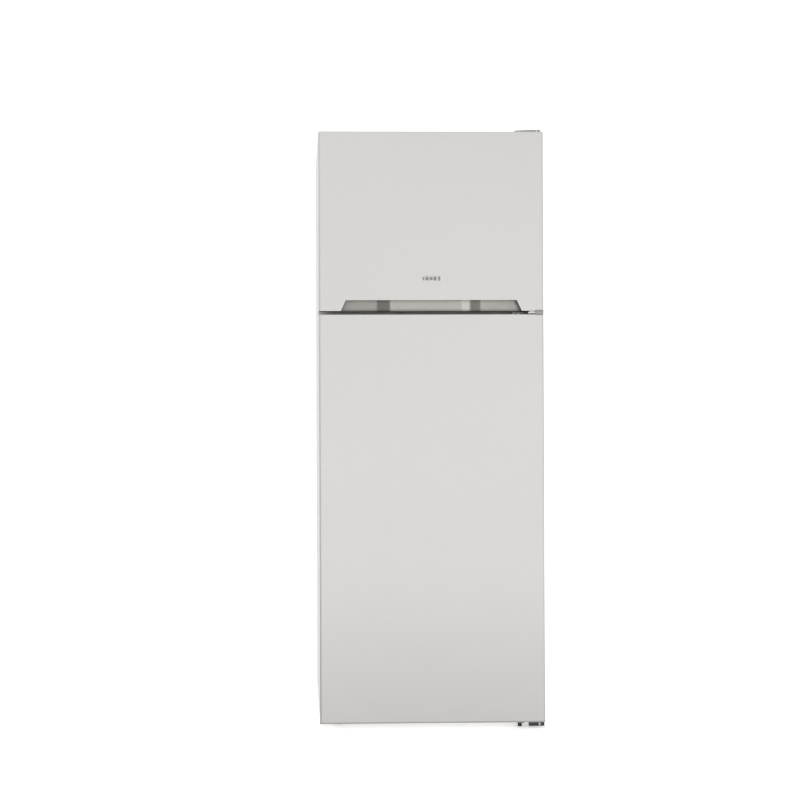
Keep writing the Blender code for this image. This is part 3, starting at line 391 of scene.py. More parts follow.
class Piece:
    """Collects closed shells, then becomes one object on a body."""

    def __init__(self, name, finish, body="cabinet"):
        self.name, self.finish, self.body = name, finish, body
        self.bm = bmesh.new()

    def skin(self, loops, closed=False, caps=True):
        rows = [[self.bm.verts.new(p) for p in loop] for loop in loops]
        made = []
        pairs = list(zip(rows, rows[1:]))
        if closed:
            pairs.append((rows[-1], rows[0]))
        elif caps:
            made.append(self.bm.faces.new(rows[0][::-1]))
            made.append(self.bm.faces.new(rows[-1]))
        for a, b in pairs:
            n = len(a)
            for i in range(n):
                j = (i + 1) % n
                made.append(self.bm.faces.new((a[i], a[j], b[j], b[i])))
        bmesh.ops.recalc_face_normals(self.bm, faces=made)

    def box(self, lo, hi, r=0.001, steps=2, corner=None, axis="z"):
        """A block whose every edge is rounded; corner is the larger radius, seen along the axis."""
        spans = [sorted(pair) for pair in zip(lo, hi)]
        low, high = spans.pop("xyz".index(axis))
        (u0, u1), (v0, v1) = spans
        r = min(r, (u1 - u0) * 0.45, (v1 - v0) * 0.45, (high - low) * 0.45)
        corner = min(max(corner or r, r), (u1 - u0) * 0.49, (v1 - v0) * 0.49)
        angles = [math.pi / 2 * i / steps for i in range(steps + 1)]
        eased = [(r * (1 - math.sin(t)), r * (1 - math.cos(t))) for t in angles]
        rows = [(d, low + up) for d, up in eased] + [(d, high - up) for d, up in eased[::-1]]
        loops = []
        for d, at in rows:
            outline = ring(u0 + d, u1 - d, v0 + d, v1 - d, corner - d * 0.999, 3)
            loops.append([placed(p, axis, at) for p in outline])
        self.skin(loops)

    def extrude(self, outline, axis, low, high):
        """A closed outline carried along an axis."""
        self.skin([[placed(p, axis, at) for p in outline] for at in (low, high)])

    def lathe(self, profile, centre, axis="z", sides=24, closed=False, wave=None):
        """Turned from (radius, place) pairs; wave(angle, radius) may change the radius."""
        loops = []
        for radius, at in profile:
            loop = []
            for t in turns(sides):
                r = radius if wave is None else wave(t, radius)
                point = (centre[0] + r * math.cos(t), centre[1] + r * math.sin(t))
                loop.append(placed(point, axis, at))
            loops.append(loop)
        self.skin(loops, closed=closed)

    def tube(self, path, radius, sides=8, smooth=0):
        """A round tube along points, with its corners rounded by repeated cutting."""
        points = [Vector(p) for p in path]
        for _ in range(smooth):
            fresh = [points[0]]
            for a, b in zip(points, points[1:]):
                fresh += [a.lerp(b, 0.25), a.lerp(b, 0.75)]
            points = fresh + [points[-1]]
        tangent = (points[1] - points[0]).normalized()
        side = tangent.orthogonal().normalized()
        loops = []
        for i, p in enumerate(points):
            ahead = points[min(i + 1, len(points) - 1)] - points[max(i - 1, 0)]
            turn = tangent.rotation_difference(ahead.normalized())
            side = (turn @ side).normalized()
            tangent = ahead.normalized()
            up = tangent.cross(side)
            loops.append([p + radius * (math.cos(a) * side + math.sin(a) * up) for a in turns(sides)])
        self.skin(loops)

    def screw(self, at, axis="z", way=1, r=0.004):
        """A pan head with a cross recess, standing proud along the axis."""
        k = "xyz".index(axis)
        centre = [at[i] for i in range(3) if i != k]

        def cross(t, radius):
            if radius > 0.0:
                return radius
            arm = max(abs(math.cos(t)), abs(math.sin(t)))
            return -radius * (1.0 if arm > 0.93 else 0.38)

        rows = ((1.0, 0.0), (1.0, 0.2), (0.86, 0.42), (0.66, 0.5), (-0.56, 0.52), (-0.5, 0.2))
        self.lathe([(a * r, at[k] + way * b * r) for a, b in rows], centre, axis, 20, wave=cross)

    def washer(self, inner, outer, low, high):
        """A flat ring on the doors' axis."""
        section = [(inner, low), (outer, low), (outer, high), (inner, high)]
        self.lathe(section, (HINGE_X, HINGE_Y), "z", 24, closed=True)

    def sweep(self, x, z, profile, corner=0.0, steps=1):
        """A closed profile of (inward, y) points carried round a rectangle."""
        loops = []
        for inward, y in profile:
            loops.append([(px, y, pz) for px, pz in
                    ring(x[0] + inward, x[1] - inward, z[0] + inward, z[1] - inward,
                    max(corner - inward, 0.0002), steps)])
        self.skin(loops, closed=True)

    def nest(self, rows, steps=5):
        """A pressed shell of nested rounded rectangles: (x half, z low, z high, corner, y)."""
        self.skin([[(px, y, pz) for px, pz in ring(-x, x, z0, z1, r, steps)] for x, z0, z1, r, y in rows])

    def done(self, *replaced, angle=35, level=True):
        mesh = bpy.data.meshes.new(self.name)
        self.bm.to_mesh(mesh)
        self.bm.free()
        made = bpy.data.objects.new(self.name, mesh)
        bpy.context.scene.collection.objects.link(made)
        mesh.materials.append(MAT[self.finish])
        mesh.polygons.foreach_set("use_smooth", [True] * len(mesh.polygons))
        mesh.set_sharp_from_angle(angle=math.radians(angle))
        if level:
            made.modifiers.new("level", "WEIGHTED_NORMAL").keep_sharp = True
        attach(made, self.body)
        if replaced:
            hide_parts(*replaced)
        return made


def blocks(name, finish, body, *boxes):
    """A piece made only of rounded blocks."""
    p = Piece(name, finish, body)
    for box in boxes:
        p.box(*box)
    p.done()


# ---- liners ------------------------------------------------------------------------------------
def mouth(z0, z1, top):
    """Rows of the flange round a compartment, and of the eased edge into it."""
    x, lip, y = INNER_X, FLANGE_X, CAB_FRONT
    return [
        (lip, z0 - 0.0034, z1 + top, 0.003, y + 0.001),
        (lip, z0 - 0.0034, z1 + top, 0.003, y + 0.0002),
        (lip - 0.0004, z0 - 0.003, z1 + top - 0.0004, 0.003, y),
        (x + 0.0022, z0 - 0.0022, z1 + 0.0022, 0.009, y),
        (x + 0.0008, z0 - 0.0008, z1 + 0.0008, 0.01, y + 0.0006),
        (x, z0, z1, 0.01, y + 0.0024),
    ]


def far_end(z0, z1, rear):
    """Rows of the coved corner at the back of a compartment."""
    cove = ((0.0, 0.01, 0.012), (0.0016, 0.01, 0.0048), (0.006, 0.009, 0.001), (0.012, 0.006, 0.0))
    return [(INNER_X - d, z0 + d, z1 - d, r, rear - back) for d, r, back in cove]


def freezer_liner():
    z0, z1 = FREEZER_Z
    rear, wall = 0.262, 0.0018
    outer = (INNER_X + wall, z0 - wall, z1 + wall, 0.012)
    p = Piece("freezer_liner_shell", "liner_white")
    p.nest([(*outer, rear + 0.002), (*outer, CAB_FRONT + wall)]
           + mouth(z0, z1, 0.008) + far_end(z0, z1, rear))
    for s in (-1, 1):
        p.box((s * 0.288, -0.125, 1.5497), (s * 0.3012, 0.17, 1.5597), 0.003)
        p.box((s * 0.292, -0.235, 1.569), (s * 0.3012, -0.15, 1.573), 0.0018)
    p.done("freezer_liner")


def fridge_liner():
    z0, z1 = FRIDGE_Z
    rear, wall = 0.27, 0.0018
    step_y, step_z = 0.085, 0.261  # where the floor steps up over the compressor
    outer = (
        (step_z, rear + wall), (step_z, step_y + 0.0024), (z0, step_y + wall), (z0, CAB_FRONT + wall),
    )
    step = (
        (z0, -0.011), (z0 + 0.0012, -0.0046), (z0 + 0.0048, -0.0013), (z0 + 0.011, -0.0004),
        (step_z - 0.011, 0.0), (step_z - 0.0048, 0.0012), (step_z - 0.0012, 0.0046), (step_z, 0.011),
    )
    p = Piece("fridge_liner_shell", "liner_white")
    p.nest([(INNER_X + wall, z - wall, z1 + wall, 0.012, y) for z, y in outer]
           + mouth(z0, z1, 0.0034)
           + [(INNER_X, z, z1, 0.01, step_y + dy) for z, dy in step]
           + far_end(step_z, z1, rear))
    for s in (-1, 1):
        for level in (1.02, 0.8, 0.575, 0.345, 0.91, 0.69):
            p.box((s * 0.288, -0.12, level - 0.0103), (s * 0.3012, 0.23, level - 0.0003), 0.003)
        p.box((s * 0.27, -0.1, 0.4445), (s * 0.3012, 0.22, 0.454), 0.003)
    p.done("fridge_liner")


def door_liner(prefix, door, inner, depth, bins):
    """Pressed inner skin of a door, with the ridge that carries the bins, and the foam behind it."""
    low, high = door
    z0, z1 = inner
    x, y = HALF_W - 0.0013, DOOR_REAR
    p = Piece(prefix + "_liner_shell", "liner_white", prefix)
    rows = [
        (x, low + 0.0006, high - 0.0006, 0.003, y - 0.0014),
        (x, low + 0.0006, high - 0.0006, 0.003, y - 0.0004),
        (x - 0.0006, low + 0.0012, high - 0.0012, 0.003, y),
    ]
    outside = (
        (-0.004, 0.024, 0.0), (-0.0008, 0.022, 0.0012), (0.0002, 0.021, 0.005),
        (0.003, 0.019, depth - 0.006), (0.0046, 0.018, depth - 0.0018), (0.008, 0.016, depth),
    )
    inside = (
        (0.021, 0.01, depth), (0.0245, 0.008, depth - 0.0016), (0.0262, 0.007, depth - 0.006),
        (0.0277, 0.006, 0.006), (0.0286, 0.006, 0.0016), (0.032, 0.005, 0.0),
    )
    rows += [(0.29 - d, z0 + d, z1 - d, r, y + at) for d, r, at in outside + inside]
    p.nest(rows)
    core = Piece(prefix + "_foam_core", "foam", prefix)
    lo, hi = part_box(prefix + "_foam")
    skin = 0.0021  # how far the foam stays behind the liner
    back = y - 0.0018
    fill = [
        (hi.x - 0.0045, lo.z, hi.z, 0.001, lo.y), (hi.x, lo.z, hi.z, 0.001, lo.y + 0.0045),
        (hi.x, lo.z, hi.z, 0.001, back),
    ]
    for i, (half, a, b, r, at) in enumerate(rows[3:]):
        d = skin if i < len(outside) else -skin
        fill.append((half - d, a + d, b - d, max(r - d, 0.001), max(at - skin, back)))
    core.nest(fill)
    core.done(prefix + "_foam")
    for name in bins:
        lo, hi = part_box(name)
        for s in (-1, 1):
            p.box((s * 0.2525, y - 0.0005, lo.z - 0.009), (s * 0.2632, hi.y - 0.02, lo.z - 0.0006), 0.0025)
    p.done(prefix + "_liner")


def gaskets():
    foot, face = DOOR_REAR + 0.0003, CAB_FRONT - 0.0006
    left = [(0.0, foot), (0.0, foot + 0.0026), (0.0012, foot + 0.0038), (0.003, foot + 0.0044),
            (0.001, foot + 0.0056), (0.003, foot + 0.007), (0.001, foot + 0.0084),
            (0.0014, face - 0.0006), (0.0026, face)]
    profile = left + [(0.018 - a, b) for a, b in left[::-1]]
    for body, low, high in (
        ("freezer_door", FREEZER_DOOR[0] + 0.004, FREEZER_Z[1] + 0.027),
        ("fridge_door", 0.052, FRIDGE_DOOR[1] - 0.004),
    ):
        p = Piece(body + "_gasket_bellows", "gasket", body)
        p.sweep((-0.325, 0.325), (low, high), profile)
        p.done(body + "_gasket", angle=25, level=False)


# ---- shelves, bins and drawers -----------------------------------------------------------------
def glass_shelf(node, trim_drop, trim_rise):
    """A sheet of glass held by a moulded trim at its front, back and sides."""
    lo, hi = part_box(node)
    x, y = hi.x, lo.y
    glass_lo, glass_hi = lo.z + trim_drop, hi.z - trim_rise
    pane = Piece(node + "_pane", "shelf_glass")
    pane.box((-x + 0.003, y + 0.004, glass_lo), (x - 0.003, hi.y - 0.003, glass_hi), 0.0006, corner=0.004)
    pane.done(node)
    trim = Piece(node + "_trim", "liner_white")
    front = [
        (y + 0.001, lo.z), (y + 0.0002, lo.z + 0.0015), (y, lo.z + 0.004),
        (y + 0.0003, hi.z - 0.0035), (y + 0.0022, hi.z - 0.0008), (y + 0.0048, hi.z),
        (y + 0.008, hi.z - 0.0004), (y + 0.0132, glass_hi + 0.0012), (y + 0.0138, glass_hi),
        (y + 0.0138, glass_lo - 0.0008), (y + 0.006, glass_lo - 0.0012), (y + 0.005, lo.z),
    ]
    trim.extrude(front, "x", -x, x)
    low, high = glass_lo - 0.0002, glass_hi + 0.0012
    for s in (-1, 1):
        trim.box((s * (x - 0.0065), y + 0.012, low), (s * x, hi.y - 0.006, high), 0.001)
    trim.box((-x, hi.y - 0.0075, low), (x, hi.y, glass_hi + 0.006), 0.0012)
    trim.done()


def shelves():
    for node in ("shelf_upper", "shelf_middle", "shelf_lower"):
        glass_shelf(node, 0.006, 0.0035)
    glass_shelf("freezer_shelf", 0.004, 0.0045)


def crisper_cover():
    lo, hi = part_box("crisper_cover")
    x, z = hi.x, 0.345
    front, back, slot = -0.137, -0.1205, 0.0475  # the trim at the front, and half the slider's slot
    pane = Piece("crisper_cover_pane", "shelf_glass")
    pane.box((-x + 0.004, -0.121, z + 0.0004), (x - 0.004, hi.y - 0.003, z + 0.005), 0.0006, corner=0.004)
    pane.done("crisper_cover")
    sides = [((s * (x - 0.008), -0.122, z - 0.0002), (s * x, hi.y - 0.004, z + 0.0062), 0.001)
            for s in (-1, 1)]
    blocks("crisper_cover_trim", "liner_white", "cabinet",
           ((-x, front, z - 0.012), (-0.0455, back, z + 0.008), 0.0016),
           ((0.0455, front, z - 0.012), (x, back, z + 0.008), 0.0016),
           ((-slot, front, z - 0.012), (slot, back, z - 0.0072), 0.0014),
           ((-slot, front, z + 0.0032), (slot, back, z + 0.008), 0.0014),
           ((-slot, -0.1288, z - 0.01), (slot, back, z + 0.006), 0.001),
           *sides, ((-x, hi.y - 0.008, z - 0.0002), (x, hi.y, z + 0.01), 0.0014))
    ticks = Piece("humidity_scale", "ink")
    for i in range(5):
        px, top = -0.036 + 0.018 * i, z + 0.0048 + 0.0005 * i
        ticks.box((px - 0.0004, -0.13725, z + 0.004), (px + 0.0004, -0.1369, top), 0.0001)
    ticks.done()


def bin_rails():
    """The opaque strip along the open side of each door bin, and the ribs under it."""
    for node in FREEZER_BINS + FRIDGE_BINS:
        body = "freezer_door" if node.startswith("freezer") else "fridge_door"
        lo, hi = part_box(node)
        y, top = hi.y, 1.055 if node == "dairy_bin" else hi.z
        blocks(node + "_rail", "liner_white", body,
               ((-0.254, y - 0.0004, top - 0.019), (0.254, y + 0.0018, top - 0.0006), 0.0009),
               ((-0.254, y - 0.0004, top - 0.003), (0.254, y + 0.003, top - 0.0006), 0.0009))
        places = [-0.232 + 0.029 * i for i in range(17)]
        blocks(node + "_ribs", "clear_plastic", body, *[
            ((px - 0.0011, y - 0.0003, lo.z + 0.01), (px + 0.0011, y + 0.0009, top - 0.022), 0.0005)
            for px in places])


def drawer_dressing():
    blocks("crisper_front_rail", "liner_white", "crisper_drawer",
           ((-0.284, -0.1066, 0.318), (0.284, -0.1046, 0.3268), 0.0009),
           ((-0.198, -0.1134, 0.3085), (0.198, -0.1116, 0.3268), 0.0008))
    places = [-0.264 + 0.022 * i for i in range(25)]
    blocks("crisper_front_ribs", "clear_plastic", "crisper_drawer", *[
        ((px - 0.0012, -0.1063, 0.095), (px + 0.0012, -0.1047, 0.29), 0.0006) for px in places])
    blocks("chiller_front_rail", "liner_white", "chiller_drawer",
           ((-0.268, -0.1064, 0.552), (0.268, -0.1046, 0.5626), 0.0009),
           ((-0.148, -0.1134, 0.5492), (0.148, -0.1116, 0.5608), 0.0008))
    blocks("ice_box_grip", "liner_white", "ice_box",
           ((-0.212, -0.1196, 1.396), (-0.132, -0.1176, 1.414), 0.0009))
    blocks("dairy_flap_grip", "liner_white", "dairy_flap",
           ((-0.058, -0.1664, 1.0572), (0.058, -0.165, 1.0608), 0.0006),
           ((-0.256, -0.1704, 1.099), (0.256, -0.1692, 1.108), 0.0005))


def ice_tray_dressing():
    def flutes(t, radius):
        return radius * (1 + 0.035 * math.cos(16 * t))

    for name, x in (("ice_tray_left", -0.231), ("ice_tray_right", -0.113)):
        p = Piece(name + "_knob_ring", "liner_white", name)
        p.lathe([(0.0163, -0.1262), (0.0166, -0.1275), (0.0166, -0.131), (0.016, -0.1325),
                (0.0155, -0.1325), (0.0155, -0.1262)], (x, 1.478), "y", 64, closed=True, wave=flutes)
        p.done(angle=40)


# ---- controls ----------------------------------------------------------------------------------
def dial_number(number, turn):
    """A figure on the thermostat's dial, kept as a mesh."""
    curve = bpy.data.curves.new(f"dial_number_{number}", "FONT")
    curve.body = str(number)
    curve.size = 0.0042
    curve.align_x, curve.align_y = "CENTER", "CENTER"
    curve.extrude = 0.00008
    made = bpy.data.objects.new(curve.name, curve)
    made.location = (DIAL[0] + 0.0094 * math.sin(turn), -0.1174, DIAL[1] + 0.0094 * math.cos(turn))
    made.rotation_euler = (math.radians(90), 0, 0)
    bpy.context.scene.collection.objects.link(made)
    bpy.context.view_layer.update()
    graph = bpy.context.evaluated_depsgraph_get()
    mesh = bpy.data.meshes.new_from_object(made.evaluated_get(graph))
    mesh.transform(made.matrix_world)
    bpy.data.objects.remove(made)
    figure = bpy.data.objects.new(f"dial_number_{number}", mesh)
    bpy.context.scene.collection.objects.link(figure)
    mesh.materials.clear()
    mesh.materials.append(MAT["ink"])
    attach(figure, "thermostat_knob")


def thermostat():
    x, z = DIAL
    p = Piece("thermostat_dial", "cap_plastic", "thermostat_knob")

    def flutes(t, radius):
        return radius * (1 - 0.022 * (1 + math.cos(24 * t)) * (1 if 0.0148 < radius < 0.0163 else 0))

    p.lathe([(0.0002, -0.1172), (0.011, -0.1172), (0.0128, -0.1175), (0.014, -0.1168),
            (0.015, -0.115), (0.0156, -0.1125), (0.016, -0.103), (0.0161, -0.101),
            (0.0155, -0.1005), (0.004, -0.1004), (0.0038, -0.0876), (0.0002, -0.0876)],
            (x, z), "y", 96, wave=flutes)
    p.done("thermostat_knob", angle=50)
    blocks("thermostat_pointer", "ink", "thermostat_knob",
           ((x - 0.0006, -0.11765, z + 0.007), (x + 0.0006, -0.1171, z + 0.0122), 0.0002))
    for i in (0, 1, 2, 4, 5, 6):  # the pointer stands where 4 would be
        dial_number(i + 1, math.radians(-129 + 43 * i))
    blocks("thermostat_index", "ink", "cabinet",
           ((x + 0.0185, -0.10018, z - 0.0006), (x + 0.0235, -0.0999, z + 0.0006), 0.0001))
    # Painted shade: dark ink patches stand for the shade in the lamp housing's vent slots.
    vents = [s * (0.046 + 0.008 * i) for s in (-1, 1) for i in range(6)]
    blocks("lamp_housing_vent_shade", "ink", "cabinet", *[
        ((px - 0.0017, -0.10016, 1.231), (px + 0.0017, -0.0999, 1.253), 0.0001) for px in vents])
    ribs = [-0.06 + 0.01 * i for i in range(13)]
    blocks("lamp_lens_ribs", "lens", "cabinet", *[
        ((px - 0.0014, -0.05, 1.2072), (px + 0.0014, 0.05, 1.2092), 0.0007) for px in ribs])


# ---- doors from outside ------------------------------------------------------------------------
def badge_mark():
    """Five plain raised bars on the small plate: a mark without letters."""
    z = 1.3985
    p = Piece("badge_mark", "mark", "freezer_door")
    for x, half, tall in (
        (-0.0245, 0.0024, 0.0046), (-0.0135, 0.005, 0.0052), (-0.001, 0.0046, 0.0048),
        (0.011, 0.0048, 0.0056), (0.024, 0.0028, 0.0066),
    ):
        p.box((x - half, -0.342, z - tall), (x + half, -0.3412, z + tall), 0.0002, 2, 0.0009, "y")
    p.done(level=False)


def top_hinge():
    """The cover, open underneath, with a sloped left end, its screw and its catch."""
    base = CAB_TOP + 0.0005
    cover = Piece("top_hinge_cover_shell", "hinge_grey")
    rows = []
    for grow, drop in ((0.0, None), (0.0, 0.003), (0.0008, 0.0018), (0.0032, 0.0004), (0.005, 0.0)):
        row = []
        for x, y in ring(0.259, 0.3445, -0.332, -0.182, 0.007, 6):
            if drop is None:
                z = base - (0.0 if y > -0.27 else 0.001)
            else:
                z = COVER_TOP - 0.32 * max(0.0, 0.274 - x) - drop
            row.append((x + (-grow if x > 0.3 else grow) * 0.4, y + (grow if y < -0.25 else -grow), z))
        rows.append(row)
    cover.skin(rows)
    cover.done("top_hinge_cover", angle=40)
    screw = Piece("top_hinge_cover_screw", "hinge_steel")
    head = [(0.003, COVER_TOP - 0.0004), (0.0034, COVER_TOP - 0.0008), (0.0034, COVER_TOP - 0.003)]
    screw.lathe(head, (0.333, -0.296), "z", 20)
    screw.done()
    blocks("top_hinge_cover_catch", "nylon", "cabinet",
           ((0.3285, -0.3324, 1.8572), (0.3335, -0.3306, 1.8634), 0.0007))


def middle_hinge():
    fittings = Piece("middle_hinge_fittings", "hinge_steel")
    for x in (0.272, 0.288):
        fittings.screw((x, SCREWED_Y, GAP_Z), "y", -1, 0.0042)
    fittings.done()
    blocks("middle_hinge_lug", "hinge_grey", "cabinet",
           ((0.3235, -0.3388, GAP_Z - 0.005), (0.3496, -0.33, GAP_Z + 0.005), 0.001),
           ((0.345, -0.332, GAP_Z - 0.0048), (0.3496, -0.284, GAP_Z + 0.0048), 0.001),
           *[((x, -0.3392, GAP_Z - 0.0032), (x + 0.0026, -0.338, GAP_Z + 0.0032), 0.0005)
            for x in (0.3262, 0.3448)])
    bush = Piece("middle_hinge_bush", "nylon")
    bush.box((0.306, -0.3388, GAP_Z - 0.0022), (0.322, -0.331, GAP_Z + 0.005), 0.0016)
    bush.washer(0.0044, 0.008, GAP_Z + 0.0027, GAP_Z + 0.005)
    bush.done()
    # Plastic corners of both doors beside that hinge.
    for body, z0, z1 in (("freezer_door", FREEZER_DOOR[0], FREEZER_DOOR[0] + 0.003),
            ("fridge_door", FRIDGE_DOOR[1] - 0.0026, FRIDGE_DOOR[1])):
        corner = Piece(body + "_hinge_corner", "hinge_grey", body)
        corner.extrude([
            (0.324, -0.3402), (0.3452, -0.3402), (0.3482, -0.339), (0.3499, -0.3366),
            (0.3502, -0.334), (0.3502, -0.324), (0.3488, -0.324), (0.348, -0.335),
            (0.345, -0.3388), (0.324, -0.339),
        ], "z", z0, z1)
        corner.done()


def bottom_hinge():
    low = Piece("bottom_hinge_fittings", "hinge_steel")
    nut = [(TINY, 0.0102), (0.0056, 0.0102), (0.0064, 0.011), (0.0064, 0.0138), (TINY, 0.0138)]
    low.lathe(nut, (HINGE_X, HINGE_Y), "z", 6)
    low.box((0.3312, -0.3264, 0.0072), (0.3368, -0.325, 0.0162), 0.0006)
    for x in (0.272, 0.29):
        low.screw((x, SCREWED_Y, 0.036), "y", -1, 0.0042)
    low.done()
    bush = Piece("bottom_hinge_bush", "nylon")
    bush.washer(0.0044, 0.0085, 0.0177, 0.0194)
    bush.done()


def hole_plugs():
    """Caps in the holes that a left-hung door would use."""
    p = Piece("hinge_hole_plugs", "cap_plastic")
    for x in (-0.272, -0.288):
        for z in (GAP_Z, 0.05):
            p.lathe([(0.0042, CAB_FRONT), (0.0042, CAB_FRONT - 0.0008), (0.0034, CAB_FRONT - 0.0013),
                    (TINY, CAB_FRONT - 0.0014)], (x, z), "y", 20)
    for at in ((-0.327, -0.235), (-0.306, -0.215), (-0.327, -0.208), (-0.29, -0.235)):
        p.lathe([(0.005, CAB_TOP), (0.005, CAB_TOP + 0.0008), (0.0042, CAB_TOP + 0.0014),
                (TINY, CAB_TOP + 0.0016)], at, "z", 20)
    p.done()
    for body, z in (("freezer_door", FREEZER_DOOR[1]), ("fridge_door", FRIDGE_DOOR[1])):
        plug = Piece(body + "_spare_plug", "cap_plastic", body)
        plug.lathe([(0.0062, z), (0.0062, z + 0.0005), (0.0054, z + 0.0009), (TINY, z + 0.001)],
                (-HINGE_X, HINGE_Y), "z", 24)
        plug.done()


def feet():
    p = Piece("front_foot_left_nut", "hinge_steel", "front_foot_left")
    p.lathe([(0.0055, 0.0136), (0.0082, 0.0136), (0.0088, 0.0144), (0.0088, 0.0192), (0.0082, 0.02),
            (0.0055, 0.02)], (-0.29, -0.235), "z", 6, closed=True)
    p.done(angle=20)


# ---- rear --------------------------------------------------------------------------------------
def condenser():
    y = 0.3315
    wires = Piece("condenser_wires", "black_steel")
    for i in range(42):
        x = -0.2665 + 0.013 * i
        for side in (-0.0031, 0.0031):
            wires.tube([(x, y + side, 0.316), (x, y + side, 1.604)], 0.0009, 5)
    wires.done(level=False)
    half, low, pitch, runs, bend = 0.27, 0.33, 0.105, 13, 14
    path = []
    for k in range(runs):
        z, way = low + k * pitch, 1 - 2 * (k % 2)
        path += [(-way * half, y, z), (way * half, y, z)]
        if k < runs - 1:
            for t in [math.pi * i / bend for i in range(1, bend)]:
                x = way * (half + 0.3 * pitch * math.sin(t))
                path.append((x, y, z + pitch / 2 * (1 - math.cos(t))))
    tube = Piece("condenser_tube", "black_steel")
    tube.tube(path, 0.0024, 10)
    tube.done("condenser_coil", angle=60, level=False)
    clips = Piece("condenser_brackets", "galvanised")
    for s in (-1, 1):
        for z in (0.345, 0.975, 1.575):
            for x0, x1, y0, y1, tall in (
                (0.286, 0.318, CAB_REAR + 0.0004, CAB_REAR + 0.0016, 0.011),
                (0.286, 0.2885, CAB_REAR + 0.001, y + 0.0042, 0.005),
                (0.262, 0.2885, y + 0.003, y + 0.0044, 0.005),
            ):
                clips.box((s * x0, y0, z - tall), (s * x1, y1, z + tall), 0.0005)
            clips.screw((s * 0.308, CAB_REAR + 0.0016, z), "y", 1, 0.0042)
    clips.done()


def back_details():
    y = CAB_REAR + 0.0004
    beads = Piece("back_panel_beads", "galvanised")
    for x in (-0.325, 0.325):
        beads.box((x - 0.007, y - 0.001, 0.27), (x + 0.007, y + 0.002, 1.8), 0.0018, 3, 0.0068, "y")
    for z in (1.65, 1.79):
        beads.box((-0.215, y - 0.001, z - 0.008), (0.215, y + 0.002, z + 0.008), 0.0018, 3, 0.0078, "y")
    beads.done()
    screws = Piece("back_panel_screws", "hinge_steel")
    places = [(s * 0.341, z) for s in (-1, 1) for z in (0.235, 0.52, 0.82, 1.12, 1.42, 1.7, 1.835)]
    places += [(x, z) for x in (-0.2, 0.0, 0.2) for z in (1.842, 0.228)]
    for x, z in places:
        screws.screw((x, CAB_REAR + 0.0005, z), "y", 1, 0.0036)
    screws.done()
    plugs = Piece("foam_hole_plugs", "cap_plastic")
    for x in (-0.15, 0.15):
        plugs.lathe([(0.014, y), (0.014, y + 0.001), (0.0125, y + 0.0022), (0.006, y + 0.0024),
                (TINY, y + 0.002)], (x, 1.72), "y", 28)
    plugs.done()


